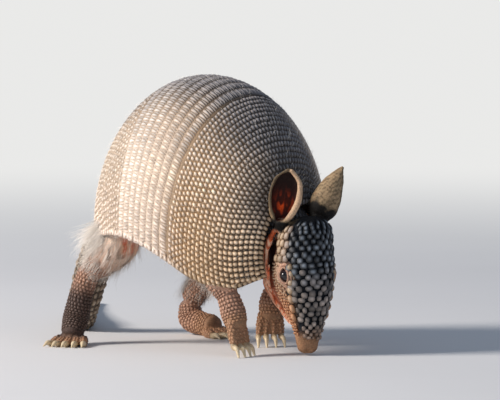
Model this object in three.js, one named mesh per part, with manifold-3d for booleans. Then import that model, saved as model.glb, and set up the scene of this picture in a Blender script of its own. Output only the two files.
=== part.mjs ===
// A nine-banded armadillo, life size, nosing the ground with its back arched.
// Millimetres, +Z up. The animal faces -Y and its left side is +X.

import * as THREE from 'three';
import { mergeVertices } from 'three/addons/utils/BufferGeometryUtils.js';
import Module from 'manifold-3d';

const wasm = await Module();
wasm.setup();

// ---------------------------------------------------------------- driving dimensions

const SHELL_WIDTH = 163;            // of this animal; the lengths below are drawn for 148
const GAP = 0.3;                    // between two pieces that touch
const radians = THREE.MathUtils.degToRad;

// The carapace follows an ellipsoid. Latitudes run from its front pole to its rear pole.
const shell = {
  centre: new THREE.Vector3(0, 0, 86),
  halfWidth: 74,
  frontLength: 93,
  rearLength: 90,
  height: 108,
  napeLatitude: -80,
  shoulderLatitude: -28,            // rear edge of the scapular shield, on the spine
  hipLatitude: 18,                  // front edge of the pelvic shield, on the spine
  tailLatitude: 84,
  thickness: 3,
  hemHeights: [54, 46, 53, 66, 75, 80, 81, 79, 76, 71],   // equal steps, neck to tail
  hemLean: 0.62,                    // of a ring's latitude at the hem to that on the spine
  frontHemSpread: 2.8e-5,
  rearHemSpread: 2e-5,
};
const BANDS = 8;
const STEPS_ACROSS = 20;            // from one hem over the back to the other
const STEPS_UNDER = 6;              // across the belly
const SCAPULAR_STEPS = 7;
const PELVIC_STEPS = 7;

const trunk = {
  bellySag: 5,
  frontCore: new THREE.Vector3(0, -60, 86),
  front: [                          // the chest draws in towards the neck
    { along: 0.16, scale: 0.66 },
    { along: 0.19, scale: 0.86 },
    { along: 0.225, scale: 0.97 },
  ],
};

// The head hangs almost straight down: its levels are heights above the floor.
const head = {
  axis: new THREE.Vector3(-1, -94, 0),
  turn: -12,                        // degrees about the vertical, towards the right side
  sides: 16,
  steps: 12,
  levels: [                         // front is the forehead side, back the throat side
    { z: 1.5, half: 4, front: -11, back: -4 },
    { z: 4, half: 7.5, front: -14, back: -1.5 },
    { z: 9, half: 9, front: -15, back: -0.5 },
    { z: 20, half: 11.5, front: -17, back: 2 },
    { z: 34, half: 16.5, front: -19, back: 8 },
    { z: 48, half: 20.5, front: -20.5, back: 16 },
    { z: 61, half: 22, front: -21, back: 19 },
    { z: 76, half: 20.8, front: -20.5, back: 16 },
    { z: 89, half: 18.5, front: -19.5, back: 8 },
    { z: 96, half: 12, front: -16.5, back: -2 },
    { z: 98, half: 4, front: -12, back: -7 },
  ],
  shieldTop: 91,
  shieldBottom: 31,
  shieldHalfAngle: 62,
  shieldThickness: 1.2,
  shieldLift: 0.8,                  // clear of the facets beneath it
};

const neck = {
  route: [[0, -54, 92], [0, -66, 89], [-0.5, -78, 83], [-1, -88, 76]],
  radii: [25, 24, 20, 15],
  sides: 12,
  steps: 3,
};

const eye = { x: 18.6, y: -8.5, z: 57, radius: 4.2 };

// An ear is part of an ellipse at each level: its half widths, how deep the cup is for its
// width, and half of the angles that it spans.
const ear = {
  length: 40.5,
  thickness: 1.1,
  spans: [150, 132, 116, 104, 96, 86, 60],
  right: {
    side: -1,
    root: [-20.4, -3.4, 93],
    lean: [0.02, -0.29, 1],
    facing: [-0.62, -0.78, 0],
    radii: [5.5, 8.8, 10.8, 11.5, 11, 8.8, 2.4],
    depth: 0.6,
  },
  left: {
    side: 1,
    root: [12, -2.3, 95.5],
    lean: [0.42, -0.27, 1],
    facing: [0.98, 0.16, 0],
    radii: [7.5, 10.4, 10.9, 10.2, 8.4, 5.4, 1.2],
    depth: 1,
  },
};

const tail = {
  route: [
    [0, 78, 88], [0, 98, 76], [-1, 117, 52], [1, 130, 26], [12, 146, 10.4], [36, 172, 9.2],
    [66, 204, 7.4], [98, 236, 5.6], [134, 268, 3.9], [168, 294, 2.2],
  ],
  radii: [16, 15.5, 13, 11.5, 10.5, 9.3, 7.5, 5.7, 4, 2.3],
  lengths: 5,
  stepsEach: 4,
  sides: 10,
};

const colours = {
  shield: 0x8f8579,
  band: 0x85796c,
  skin: 0xb58e78,
  belly: 0xb9a08c,
  headScale: 0x4f5157,
  earSkin: 0x6b4f3e,
  eyeball: 0x0b0a0a,
  claw: 0xb9a384,
  tailScale: 0x6f665d,
};

// ---------------------------------------------------------------- solids

function material(colour, roughness) {
  return new THREE.MeshStandardMaterial({ color: colour, roughness, metalness: 0 });
}

// Moves every vertex of a three.js geometry to the place that a function gives for it.
function reshape(geometry, place) {
  const position = geometry.attributes.position;
  const point = new THREE.Vector3();
  for (let i = 0; i < position.count; i += 1) {
    point.fromBufferAttribute(position, i);
    const moved = place(point.x, point.y, point.z);
    position.setXYZ(i, moved.x, moved.y, moved.z);
  }
  geometry.deleteAttribute('normal');
  geometry.deleteAttribute('uv');
  return mergeVertices(geometry);
}

function toSolid(geometry) {
  return new wasm.Manifold(new wasm.Mesh({
    numProp: 3,
    vertProperties: new Float32Array(geometry.attributes.position.array),
    triVerts: new Uint32Array(geometry.index.array),
  }));
}

function toGeometry(solid) {
  const mesh = solid.getMesh();
  const geometry = new THREE.BufferGeometry();
  geometry.setAttribute('position', new THREE.BufferAttribute(mesh.vertProperties, 3));
  geometry.setIndex(new THREE.BufferAttribute(mesh.triVerts, 1));
  return geometry;
}

function cutAway(geometry, ...cutters) {
  return toGeometry(cutters.reduce((left, cutter) => left.subtract(cutter), toSolid(geometry)));
}

function joined(...geometries) {
  const [first, ...rest] = geometries.map(toSolid);
  return toGeometry(rest.reduce((whole, piece) => whole.add(piece), first));
}

// Evenly spread samples of a smooth line through a few values.
function smoothValue(values, share) {
  const last = values.length - 1;
  const place = THREE.MathUtils.clamp(share, 0, 1) * last;
  const i = Math.min(Math.floor(place), last - 1);
  const before = values[Math.max(i - 1, 0)];
  const after = values[Math.min(i + 2, last)];
  const t = place - i;
  const slopeIn = (values[i + 1] - before) / 2;
  const slopeOut = (after - values[i]) / 2;
  const rise = values[i + 1] - values[i];
  return values[i] + slopeIn * t + (3 * rise - 2 * slopeIn - slopeOut) * t * t
    + (slopeIn + slopeOut - 2 * rise) * t * t * t;
}

function vectors(list) {
  return list.map((p) => new THREE.Vector3(...p));
}

// A round bar along a smooth line, with its own radius at each point of the line.
function taperedBar({ route, radii, sides, steps, from = 0, to = 1, grow = 0 }) {
  const curve = new THREE.CatmullRomCurve3(vectors(route));
  const reference = new THREE.Vector3(1, -0.3, 0).normalize();
  return reshape(new THREE.CylinderGeometry(1, 1, 1, sides, steps), (x, y, z) => {
    const share = from + (to - from) * (y + 0.5);
    const tangent = curve.getTangent(share);
    const normal = new THREE.Vector3().crossVectors(reference, tangent).normalize();
    const side = new THREE.Vector3().crossVectors(tangent, normal);
    const radius = smoothValue(radii, share) + grow;
    return curve.getPoint(share)
      .addScaledVector(side, x * radius)
      .addScaledVector(normal, z * radius);
  });
}

// ---------------------------------------------------------------- carapace

const latitudeSpan = shell.tailLatitude - shell.napeLatitude;
const shoulderAlong = (shell.shoulderLatitude - shell.napeLatitude) / latitudeSpan;
const hipAlong = (shell.hipLatitude - shell.napeLatitude) / latitudeSpan;

// At the hem the rings lie closer together than on the arched spine.
function hemLatitude(spineLatitude) {
  const spread = spineLatitude < 0 ? shell.frontHemSpread : shell.rearHemSpread;
  return shell.hemLean * spineLatitude + spread * spineLatitude ** 3;
}

// A point of the carapace. along: 0 at the nape, 1 at the tail. across: -1 at the right
// hem, 0 on the spine, 1 at the left hem. depth is measured inwards.
function shellPoint(along, across, depth = 0) {
  const share = Math.abs(across);
  const spine = shell.napeLatitude + latitudeSpan * along;
  const hem = hemLatitude(spine);
  const latitude = radians(THREE.MathUtils.lerp(spine, hem, THREE.MathUtils.smoothstep(share, 0, 1)));
  const drop = (smoothValue(shell.hemHeights, along) - shell.centre.z) / shell.height;
  const hemAngle = Math.acos(drop / Math.cos(radians(hem)));
  const angle = hemAngle * across;
  const length = latitude < 0 ? shell.frontLength : shell.rearLength;
  return new THREE.Vector3(
    (shell.halfWidth - depth) * Math.cos(latitude) * Math.sin(angle),
    (length - depth) * Math.sin(latitude),
    (shell.height - depth) * Math.cos(latitude) * Math.cos(angle),
  ).add(shell.centre);
}

function plate(from, to, stepsAlong, inner = shell.thickness, outer = 0, edge = 1) {
  const box = new THREE.BoxGeometry(1, 1, 1, stepsAlong, STEPS_ACROSS, 1);
  return reshape(box, (x, y, z) => {
    const along = THREE.MathUtils.lerp(from, to, x + 0.5);
    return shellPoint(along, -2 * y * edge, z > 0 ? outer : inner);
  });
}

// A plate with the gap added on all sides, to cut its neighbours with.
function grownPlate(from, to, stepsAlong) {
  const grown = (GAP + shell.thickness) / shell.thickness;
  const edge = 1 + GAP / shell.height;
  return plate(from - ringGap * grown, to + ringGap * grown, stepsAlong, shell.thickness + GAP, -GAP, edge);
}

// Half of the gap between two rings, as a share of the way along the spine.
const ringGap = GAP / 2 / (radians(latitudeSpan) * shell.halfWidth);
const bandAlong = (hipAlong - shoulderAlong) / BANDS;

const scapularShield = plate(0, shoulderAlong - ringGap, SCAPULAR_STEPS);
const pelvicShield = plate(hipAlong + ringGap, 1, PELVIC_STEPS);

function band(number) {
  const start = shoulderAlong + bandAlong * (number - 1);
  return plate(start + ringGap, start + bandAlong - ringGap, 1);
}

// ---------------------------------------------------------------- trunk

// The trunk's rings lie on the plates' own ring lines, so that no facet crosses another.
function trunkLines() {
  const lines = trunk.front.map(({ along, scale }) => ({ along, scale }));
  const plateStep = (shoulderAlong - ringGap) / SCAPULAR_STEPS;
  for (let along = plateStep * 3; along < shoulderAlong - plateStep / 2; along += plateStep) {
    if (along > trunk.front.at(-1).along) lines.push({ along, scale: 1 });
  }
  for (let i = 0; i <= BANDS; i += 1) lines.push({ along: shoulderAlong + bandAlong * i, scale: 1 });
  const pelvicStep = (1 - hipAlong - ringGap) / PELVIC_STEPS;
  for (let i = 1; i < PELVIC_STEPS; i += 1) {
    lines.push({ along: hipAlong + ringGap + pelvicStep * i, scale: 1 });
  }
  return lines;
}

function trunkRingPoint(along, turn, grow) {
  const backShare = STEPS_ACROSS / (STEPS_ACROSS + STEPS_UNDER);
  const depth = shell.thickness + GAP - grow;
  if (turn <= backShare) return shellPoint(along, 2 * turn / backShare - 1, depth);
  const under = (turn - backShare) / (1 - backShare);
  const hem = shellPoint(along, 1, depth);
  return new THREE.Vector3(
    hem.x * Math.cos(Math.PI * under),
    hem.y,
    hem.z - (trunk.bellySag + grow) * Math.sin(Math.PI * under),
  );
}

function trunkSolid(grow = 0) {
  const lines = trunkLines();
  const rings = lines.length - 1;
  const sides = STEPS_ACROSS + STEPS_UNDER;
  return reshape(new THREE.CylinderGeometry(1, 1, 1, sides, rings), (x, y, z) => {
    const { along, scale } = lines[Math.round((y + 0.5) * rings)];
    const turn = (Math.atan2(x, z) / (2 * Math.PI) + 1) % 1;
    const rim = trunkRingPoint(along, Math.round(turn * sides) / sides, grow);
    const core = trunk.frontCore.clone();
    if (scale === 1) core.set(0, rim.y, shell.centre.z);
    const endGrow = y === -0.5 ? -grow : (y === 0.5 ? grow : 0);
    return core.lerp(rim, scale * Math.hypot(x, z)).add(new THREE.Vector3(0, endGrow, 0));
  });
}

// ---------------------------------------------------------------- head

// A level of the head at any height, between the listed ones.
function headLevel(z) {
  const levels = head.levels;
  const above = Math.max(1, levels.findIndex((level) => level.z >= z));
  const low = levels[above - 1];
  const high = levels[above];
  const share = (z - low.z) / (high.z - low.z);
  const mix = (key) => THREE.MathUtils.lerp(low[key], high[key], share);
  return { half: mix('half'), front: mix('front'), back: mix('back') };
}

// A point of the head's side. angle is 0 on the forehead and grows towards the left.
function headPoint(z, angle, grow = 0) {
  const level = headLevel(z);
  const middle = (level.front + level.back) / 2;
  const depth = (level.back - level.front) / 2 + grow;
  return new THREE.Vector3(
    (level.half + grow) * Math.sin(angle),
    middle - depth * Math.cos(angle),
    z,
  );
}

function placeOnHead(point) {
  return point.applyAxisAngle(new THREE.Vector3(0, 0, 1), radians(head.turn)).add(head.axis);
}

function headSolid(grow = 0) {
  const heights = head.levels.map((level) => level.z);
  const cylinder = new THREE.CylinderGeometry(1, 1, 1, head.sides, head.steps);
  return reshape(cylinder, (x, y, z) => {
    const height = smoothValue(heights, y + 0.5);
    const inside = Math.hypot(x, z);
    const rim = headPoint(THREE.MathUtils.clamp(height, heights[0], heights.at(-1)), Math.atan2(x, z), grow);
    const level = headLevel(rim.z);
    const core = new THREE.Vector3(0, (level.front + level.back) / 2, rim.z);
    const point = core.lerp(rim, inside);
    point.z += Math.abs(y) === 0.5 ? Math.sign(y) * grow : 0;
    return placeOnHead(point);
  });
}

// The shield on the forehead: a curved plate, narrow towards the snout.
function headShield(extra = 0) {
  const box = new THREE.BoxGeometry(1, 1, 1, 6, 7, 1);
  return reshape(box, (x, y, z) => {
    const share = y + 0.5;
    const height = THREE.MathUtils.lerp(head.shieldBottom, head.shieldTop, share);
    const narrowing = 0.45 + 0.55 * Math.sin(Math.PI * Math.min(share + 0.25, 0.62)) ** 0.8;
    const angle = 2 * x * radians(head.shieldHalfAngle) * narrowing;
    const grow = z > 0 ? head.shieldLift + head.shieldThickness + extra : head.shieldLift;
    return placeOnHead(headPoint(height, angle, grow));
  });
}

function eyeball(side, grow = 0) {
  const ball = new THREE.SphereGeometry(eye.radius + grow, 8, 6);
  return reshape(ball, (x, y, z) => placeOnHead(
    new THREE.Vector3(side * eye.x + x, eye.y + y, eye.z + z),
  ));
}

// An ear: a cup along a leaning line, open towards one side.
function earCup({ root, lean, facing, radii, depth }) {
  const up = new THREE.Vector3(...lean).normalize();
  const open = new THREE.Vector3(...facing);
  open.addScaledVector(up, -open.dot(up)).normalize();
  const across = new THREE.Vector3().crossVectors(up, open);
  const box = new THREE.BoxGeometry(1, 1, 1, 8, 6, 1);
  return reshape(box, (x, y, z) => {
    const share = y + 0.5;
    const radius = smoothValue(radii, share);
    const inwards = z > 0 ? 0 : ear.thickness * (1 - 0.5 * share);
    const angle = 2 * x * radians(smoothValue(ear.spans, share));
    const point = new THREE.Vector3(...root)
      .addScaledVector(up, share * ear.length)
      .addScaledVector(across, -(radius - inwards) * Math.sin(angle))
      .addScaledVector(open, -(radius * depth - inwards) * Math.cos(angle));
    return placeOnHead(point);
  });
}

function neckBar(grow = 0) {
  return taperedBar({ ...neck, grow });
}

// ---------------------------------------------------------------- legs

const limbs = {
  fore_right: {
    leg: { route: [[-34, -50, 88], [-40, -53, 70], [-45, -55, 55], [-42, -62, 42]], radii: [16, 15, 11, 8] },
    foot: { route: [[-42, -62.6, 41], [-41.6, -67, 30], [-41.4, -70, 22]], radii: [8, 9, 8] },
    toes: { root: [-41.4, -69, 24], tip: [-41.5, -75, 9], spread: [9, 2, 0], count: 4, radius: 3.3 },
    claw: { bend: [0, -4, -3], tip: [0, -3.5, -9] },
  },
  fore_left: {
    leg: { route: [[34, -48, 88], [39, -44, 70], [38, -40, 54], [29, -38, 40]], radii: [16, 15, 11, 8] },
    foot: { route: [[28.4, -38, 39], [26, -37.5, 30], [24.5, -38, 22]], radii: [8, 9, 8] },
    toes: { root: [24.4, -38, 24], tip: [21, -41, 9], spread: [7, -5, 0], count: 4, radius: 3.3 },
    claw: { bend: [-2, -3, -3], tip: [-2, -3, -9] },
  },
  hind_right: {
    leg: { route: [[-37, 44, 100], [-44, 43, 86], [-50, 40, 72], [-54, 51, 61], [-56.5, 62, 54]],
      radii: [17, 15.5, 14, 11.5, 8.5] },
    foot: { route: [[-56.6, 64, 53], [-60, 69, 36], [-63, 71.5, 19], [-70, 68.5, 7.4]],
      radii: [8, 8.5, 9.5, 8] },
    toes: { root: [-69, 69, 4.4], tip: [-82, 61, 2.4], spread: [-6, 11, 0], count: 5, radius: 3.4 },
    claw: { bend: [-5, -2.5, 0.6], tip: [-5, -2.5, -2.1] },
  },
  hind_left: {
    leg: { route: [[37, 44, 100], [45, 40, 84], [51, 36, 67], [50, 53, 43], [48, 66, 26]],
      radii: [17, 15.5, 14.5, 11, 8.5] },
    foot: { route: [[47.8, 68, 22], [47.4, 66, 12], [47, 54, 8.6], [46, 42, 7.6]],
      radii: [8, 9.5, 8.5, 8.5] },
    toes: { root: [46, 42, 4], tip: [45, 27, 2.4], spread: [12.5, 0, 0], count: 5, radius: 3.4 },
    claw: { bend: [0, -5.5, 0.6], tip: [0, -5, -2.1] },
  },
};

// Toes and claws fan out from the foot; the middle ones are the longest.
function toeLines({ toes, claw }) {
  const lines = [];
  for (let i = 0; i < toes.count; i += 1) {
    const place = 2 * i / (toes.count - 1) - 1;
    const reach = 1 - 0.22 * place * place;
    const spread = new THREE.Vector3(...toes.spread).multiplyScalar(place);
    const root = new THREE.Vector3(...toes.root).addScaledVector(spread, 0.65);
    const full = new THREE.Vector3(...toes.tip).add(spread);
    const tip = root.clone().lerp(full, reach);
    tip.z = full.z;
    const bend = new THREE.Vector3(...claw.bend).addScaledVector(spread, 0.12);
    const end = new THREE.Vector3(...claw.tip).addScaledVector(spread, 0.1);
    lines.push({ root, tip, bend: tip.clone().add(bend), end: tip.clone().add(bend).add(end) });
  }
  return lines;
}

function toeBar({ root, tip }, radius) {
  const middle = root.clone().lerp(tip, 0.5);
  return taperedBar({
    route: [root, middle, tip].map((p) => p.toArray()),
    radii: [radius, radius * 1.1, radius * 0.75],
    sides: 6,
    steps: 2,
  });
}

function clawHorn({ root, tip, bend, end }, radius) {
  const ahead = tip.clone().sub(root).normalize();
  const start = tip.clone().addScaledVector(ahead, GAP);
  const straight = start.clone().addScaledVector(ahead, radius * 0.6);
  return taperedBar({
    route: [start, straight, bend, end].map((p) => p.toArray()),
    radii: [radius * 0.52, radius * 0.54, radius * 0.46, radius * 0.18],
    sides: 5,
    steps: 3,
  });
}

// Everything below the floor is cut off, which leaves the small flats that carry the animal.
const FLOOR_SIDE = 900;
const FLOOR_DEPTH = 40;
function floorBlock() {
  const block = new THREE.BoxGeometry(FLOOR_SIDE, FLOOR_SIDE, FLOOR_DEPTH);
  return toSolid(reshape(block, (x, y, z) => new THREE.Vector3(x, y, z - FLOOR_DEPTH / 2)));
}

// ---------------------------------------------------------------- assembly

const body = new THREE.Group();

function addMesh(name, geometry, look) {
  const mesh = new THREE.Mesh(geometry, look);
  mesh.name = name;
  body.add(mesh);
}

const looks = {
  shield: material(colours.shield, 0.6),
  band: material(colours.band, 0.6),
  skin: material(colours.skin, 0.75),
  belly: material(colours.belly, 0.85),
  headScale: material(colours.headScale, 0.6),
  ear: material(colours.earSkin, 0.75),
  eyeball: material(colours.eyeball, 0.08),
  claw: material(colours.claw, 0.4),
  tail: material(colours.tailScale, 0.7),
};

const floor = floorBlock();
const trunkCutter = toSolid(trunkSolid(GAP));
const headCutter = toSolid(headSolid(GAP));
const scapularCutter = toSolid(grownPlate(0, shoulderAlong - ringGap, SCAPULAR_STEPS));
const pelvicCutter = toSolid(grownPlate(hipAlong + ringGap, 1, PELVIC_STEPS));
const bandCutter = toSolid(grownPlate(shoulderAlong, hipAlong, BANDS));
const neckCutter = toSolid(neckBar(GAP));
const headShieldCutter = toSolid(headShield(GAP));
const shellCutters = [scapularCutter, bandCutter, pelvicCutter];
const eyeCutters = [-1, 1].map((side) => toSolid(eyeball(side, GAP)));

function addCarapace() {
  addMesh('scapular_shield', scapularShield, looks.shield);
  for (let number = 1; number <= BANDS; number += 1) addMesh(`band_${number}`, band(number), looks.band);
  addMesh('pelvic_shield', pelvicShield, looks.shield);
  addMesh('head_shield', cutAway(headShield(), ...eyeCutters), looks.headScale);
}

function addTrunkAndHead() {
  addMesh('trunk', trunkSolid(), looks.belly);
  addMesh('neck', cutAway(neckBar(), headCutter, trunkCutter, scapularCutter), looks.skin);
  addMesh('head', cutAway(headSolid(), ...eyeCutters), looks.skin);
}

function addEyesAndEars() {
  for (const word of ['right', 'left']) {
    addMesh(`eye_${word}`, eyeball(ear[word].side), looks.eyeball);
    const cup = cutAway(earCup(ear[word]), headCutter, headShieldCutter, neckCutter, scapularCutter);
    addMesh(`ear_${word}`, cup, looks.ear);
  }
}

function addLimb(name, { leg, foot, toes, claw }) {
  const [place, word] = name.split('_');
  const footBar = taperedBar({ ...foot, sides: 8, steps: 3 });
  const lines = toeLines({ toes, claw });
  const wholeFoot = joined(footBar, ...lines.map((line) => toeBar(line, toes.radius)));
  const footCutter = toSolid(taperedBar({ ...foot, sides: 8, steps: 3, grow: GAP }));
  const legBar = taperedBar({ ...leg, sides: 8, steps: 4 });
  const legGeometry = cutAway(legBar, trunkCutter, neckCutter, headCutter, ...shellCutters, footCutter);
  addMesh(`${place}_leg_${word}`, legGeometry, looks.skin);
  addMesh(`${place}_foot_${word}`, cutAway(wholeFoot, floor), looks.skin);
  lines.forEach((line, i) => {
    const horn = cutAway(clawHorn(line, toes.radius), floor);
    addMesh(`${place}_claw_${word}_${i + 1}`, horn, looks.claw);
  });
}

function addTail() {
  const shareGap = 0.0006;
  for (let i = 0; i < tail.lengths; i += 1) {
    const bar = taperedBar({
      route: tail.route,
      radii: tail.radii,
      sides: tail.sides,
      steps: tail.stepsEach,
      from: i / tail.lengths + (i > 0 ? shareGap : 0),
      to: (i + 1) / tail.lengths - shareGap,
    });
    addMesh(`tail_${i + 1}`, cutAway(bar, trunkCutter, pelvicCutter, floor), looks.tail);
  }
}

addCarapace();
addTrunkAndHead();
addEyesAndEars();
for (const [name, limb] of Object.entries(limbs)) addLimb(name, limb);
addTail();

// The origin is the middle of the animal's footprint box, on the floor.
const box = new THREE.Box3().setFromObject(body);
body.position.set(-(box.min.x + box.max.x) / 2, -(box.min.y + box.max.y) / 2, 0);

const armadillo = new THREE.Group();
armadillo.add(body);
armadillo.scale.setScalar(SHELL_WIDTH / (2 * shell.halfWidth));

export default armadillo;
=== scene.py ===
# A nine-banded armadillo, finished over its solids: one skin, the shell's plates with their
# scutes, scales on the head, legs and tail, horn claws, eyes and sparse pale hairs.
# Lengths are the "drawn" millimetres of the solids until to_frame() places them.
import math

import bpy
import numpy as np
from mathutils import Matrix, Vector


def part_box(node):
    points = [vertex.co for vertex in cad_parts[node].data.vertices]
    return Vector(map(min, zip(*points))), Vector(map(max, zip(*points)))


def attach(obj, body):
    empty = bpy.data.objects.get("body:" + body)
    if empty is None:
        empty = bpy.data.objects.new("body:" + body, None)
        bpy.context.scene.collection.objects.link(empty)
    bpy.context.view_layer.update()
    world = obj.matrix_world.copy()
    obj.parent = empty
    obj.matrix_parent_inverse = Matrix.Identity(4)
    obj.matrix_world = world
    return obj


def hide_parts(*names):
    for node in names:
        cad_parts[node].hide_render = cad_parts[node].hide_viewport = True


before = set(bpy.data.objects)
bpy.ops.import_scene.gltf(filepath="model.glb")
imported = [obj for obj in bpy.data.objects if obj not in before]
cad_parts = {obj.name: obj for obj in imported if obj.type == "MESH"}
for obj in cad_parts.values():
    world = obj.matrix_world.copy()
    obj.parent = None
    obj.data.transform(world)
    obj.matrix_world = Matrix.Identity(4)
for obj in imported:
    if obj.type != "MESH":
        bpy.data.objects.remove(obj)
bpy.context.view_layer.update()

# ---------------------------------------------------------------- driving dimensions

SEED = 9
BANDS = 8
FLOOR_GAP = 0.1                # between the floor and whatever rests on it

SHELL = {
    "centre": np.array([0.0, 0.0, 86.0]),
    "half_width": 74.0,
    "front_length": 93.0,
    "rear_length": 90.0,
    "height": 108.0,
    "nape": -80.0,            # latitudes on the spine, in degrees
    "shoulder": -28.0,
    "hip": 18.0,
    "tail": 84.0,
    "thickness": 3.0,
    "hem": [54, 46, 53, 66, 75, 80, 81, 79, 76, 71],
}
SPAN = SHELL["tail"] - SHELL["nape"]
SHOULDER = (SHELL["shoulder"] - SHELL["nape"]) / SPAN
HIP = (SHELL["hip"] - SHELL["nape"]) / SPAN
BAND = (HIP - SHOULDER) / BANDS

HEAD_AXIS = np.array([-1.0, -94.0, 0.0])
HEAD_TURN = math.radians(-12)
# Heights, half widths, and how far the forehead and the throat reach from the axis.
HEAD_Z = [1.5, 4, 9, 20, 34, 48, 61, 76, 89, 96, 98]
HEAD_HALF = [4, 7.5, 9, 11.5, 16.5, 20.5, 22, 20.8, 18.5, 12, 4]
HEAD_FRONT = [-11, -14, -15, -17, -19, -20.5, -21, -20.5, -19.5, -16.5, -12]
HEAD_BACK = [-4, -1.5, -0.5, 2, 8, 16, 19, 16, 8, -2, -7]

NECK = {"route": [[0, -54, 92], [0, -66, 89], [-0.5, -78, 83], [-1, -88, 76]], "radii": [25, 24, 20, 15]}
NECK_FREE = (-76, -68)         # between these the neck passes from free to under the shell

EYE = {"x": 18.6, "y": -8.5, "z": 57.0, "radius": 4.2}

EAR_LENGTH = 40.5
EAR_SPANS = [150, 132, 116, 104, 96, 86, 60]      # half of the angle that the cup spans, at each level
EARS = {
    "right": {"side": -1, "root": np.array([-20.4, -3.4, 93]), "lean": [0.02, -0.29, 1], "depth": 0.6,
              "facing": [-0.62, -0.78, 0], "radii": [5.5, 8.8, 10.8, 11.5, 11, 8.8, 2.4],
              "dark": 0.1},
    "left": {"side": 1, "root": np.array([12, -2.3, 95.5]), "lean": [0.42, -0.27, 1], "depth": 1.0,
             "facing": [0.98, 0.16, 0], "radii": [7.5, 10.4, 10.9, 10.2, 8.4, 5.4, 1.2],
             "dark": 0.27},
}

TAIL = {
    "route": [[0, 78, 88], [0, 98, 76], [-1, 117, 52], [1, 130, 26], [12, 146, 10.4], [36, 172, 9.2],
              [66, 204, 7.4], [98, 236, 5.6], [134, 268, 3.9], [168, 294, 2.2]],
    "radii": [16, 15.5, 13, 11.5, 10.5, 9.3, 7.5, 5.7, 4, 2.3],
}

LIMBS = {
    "fore_right": {
        "leg": {"route": [[-34, -50, 88], [-40, -53, 70], [-45, -55, 55], [-42, -62, 42]],
                "radii": [16, 15, 11, 8]},
        "foot": {"route": [[-42, -62.6, 41], [-41.6, -67, 30], [-41.4, -70, 22]], "radii": [8, 9, 8]},
        "toes": {"root": [-41.4, -69, 24], "tip": [-41.5, -75, 9], "spread": [9, 2, 0],
                 "count": 4, "radius": 3.3},
        "claw": {"bend": [0, -4, -3], "tip": [0, -3.5, -9]},
    },
    "fore_left": {
        "leg": {"route": [[34, -48, 88], [39, -44, 70], [38, -40, 54], [29, -38, 40]],
                "radii": [16, 15, 11, 8]},
        "foot": {"route": [[28.4, -38, 39], [26, -37.5, 30], [24.5, -38, 22]], "radii": [8, 9, 8]},
        "toes": {"root": [24.4, -38, 24], "tip": [21, -41, 9], "spread": [7, -5, 0],
                 "count": 4, "radius": 3.3},
        "claw": {"bend": [-2, -3, -3], "tip": [-2, -3, -9]},
    },
    "hind_right": {
        "leg": {"route": [[-37, 44, 100], [-44, 43, 86], [-50, 40, 72], [-54, 51, 61], [-56.5, 62, 54]],
                "radii": [17, 15.5, 14, 11.5, 8.5]},
        "foot": {"route": [[-56.6, 64, 53], [-60, 69, 36], [-63, 71.5, 19], [-70, 68.5, 7.4]],
                 "radii": [8, 8.5, 9.5, 8]},
        "toes": {"root": [-69, 69, 4.4], "tip": [-82, 61, 2.4], "spread": [-6, 11, 0],
                 "count": 5, "radius": 3.4},
        "claw": {"bend": [-5, -2.5, 0.6], "tip": [-5, -2.5, -2.1]},
    },
    "hind_left": {
        "leg": {"route": [[37, 44, 100], [45, 40, 84], [51, 36, 67], [50, 53, 43], [48, 66, 26]],
                "radii": [17, 15.5, 14.5, 11, 8.5]},
        "foot": {"route": [[47.8, 68, 22], [47.4, 66, 12], [47, 54, 8.6], [46, 42, 7.6]],
                 "radii": [8, 9.5, 8.5, 8.5]},
        "toes": {"root": [46, 42, 4], "tip": [45, 27, 2.4], "spread": [12.5, 0, 0],
                 "count": 5, "radius": 3.4},
        "claw": {"bend": [0, -5.5, 0.6], "tip": [0, -5, -2.1]},
    },
}


def unit_vectors(vectors):
    return vectors / np.linalg.norm(vectors, axis=-1, keepdims=True)


def turned(points, angle):
    """Points turned about the vertical."""
    c, s = math.cos(angle), math.sin(angle)
    x, y, z = points[..., 0], points[..., 1], points[..., 2]
    return np.stack([c * x - s * y, s * x + c * y, z], axis=-1)


def on_head(points):
    """Points given on the head's own axes, placed on the animal."""
    return turned(np.asarray(points, float), HEAD_TURN) + HEAD_AXIS


def in_head(points):
    """Points of the animal, on the head's own axes."""
    return turned(np.asarray(points, float) - HEAD_AXIS, -HEAD_TURN)


def eye_centre(side):
    return on_head([side * EYE["x"], EYE["y"], EYE["z"]])


def middle(name):
    """The middle of a solid's box."""
    low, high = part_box(name)
    return np.array((low + high) / 2)


EYE_MIDDLES = [middle("eye_right"), middle("eye_left")]
UNIT = np.linalg.norm(EYE_MIDDLES[1] - EYE_MIDDLES[0]) / (2 * EYE["x"])
SHIFT = (EYE_MIDDLES[0] + EYE_MIDDLES[1]) / 2 - UNIT * eye_centre(0)


def to_frame(points):
    """From drawn millimetres to the solids' own frame."""
    return np.asarray(points, float) * UNIT + SHIFT


# ---------------------------------------------------------------- smooth lines and masks

def cubic(start, rise, slope_in, slope_out, t):
    """A smooth climb from start by rise, with the given slopes at its two ends."""
    return (start + slope_in * t + (3 * rise - 2 * slope_in - slope_out) * t ** 2
            + (slope_in + slope_out - 2 * rise) * t ** 3)


def smooth_value(values, share):
    """A smooth line through equally spaced values."""
    values = np.asarray(values, float)
    last = len(values) - 1
    place = np.clip(share, 0, 1) * last
    i = np.minimum(np.floor(place).astype(int), last - 1)
    before, after = values[np.maximum(i - 1, 0)], values[np.minimum(i + 2, last)]
    slope_in = (values[i + 1] - before) / 2
    slope_out = (after - values[i]) / 2
    return cubic(values[i], values[i + 1] - values[i], slope_in, slope_out, place - i)


def lerp(a, b, t):
    return a + (b - a) * t


def step(low, high, x):
    """0 below low, 1 above high, smooth between."""
    t = np.clip((np.asarray(x, float) - low) / (high - low), 0, 1)
    return t * t * (3 - 2 * t)


def hump(x, centre, width):
    return np.exp(-((np.asarray(x, float) - centre) / width) ** 2)


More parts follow.
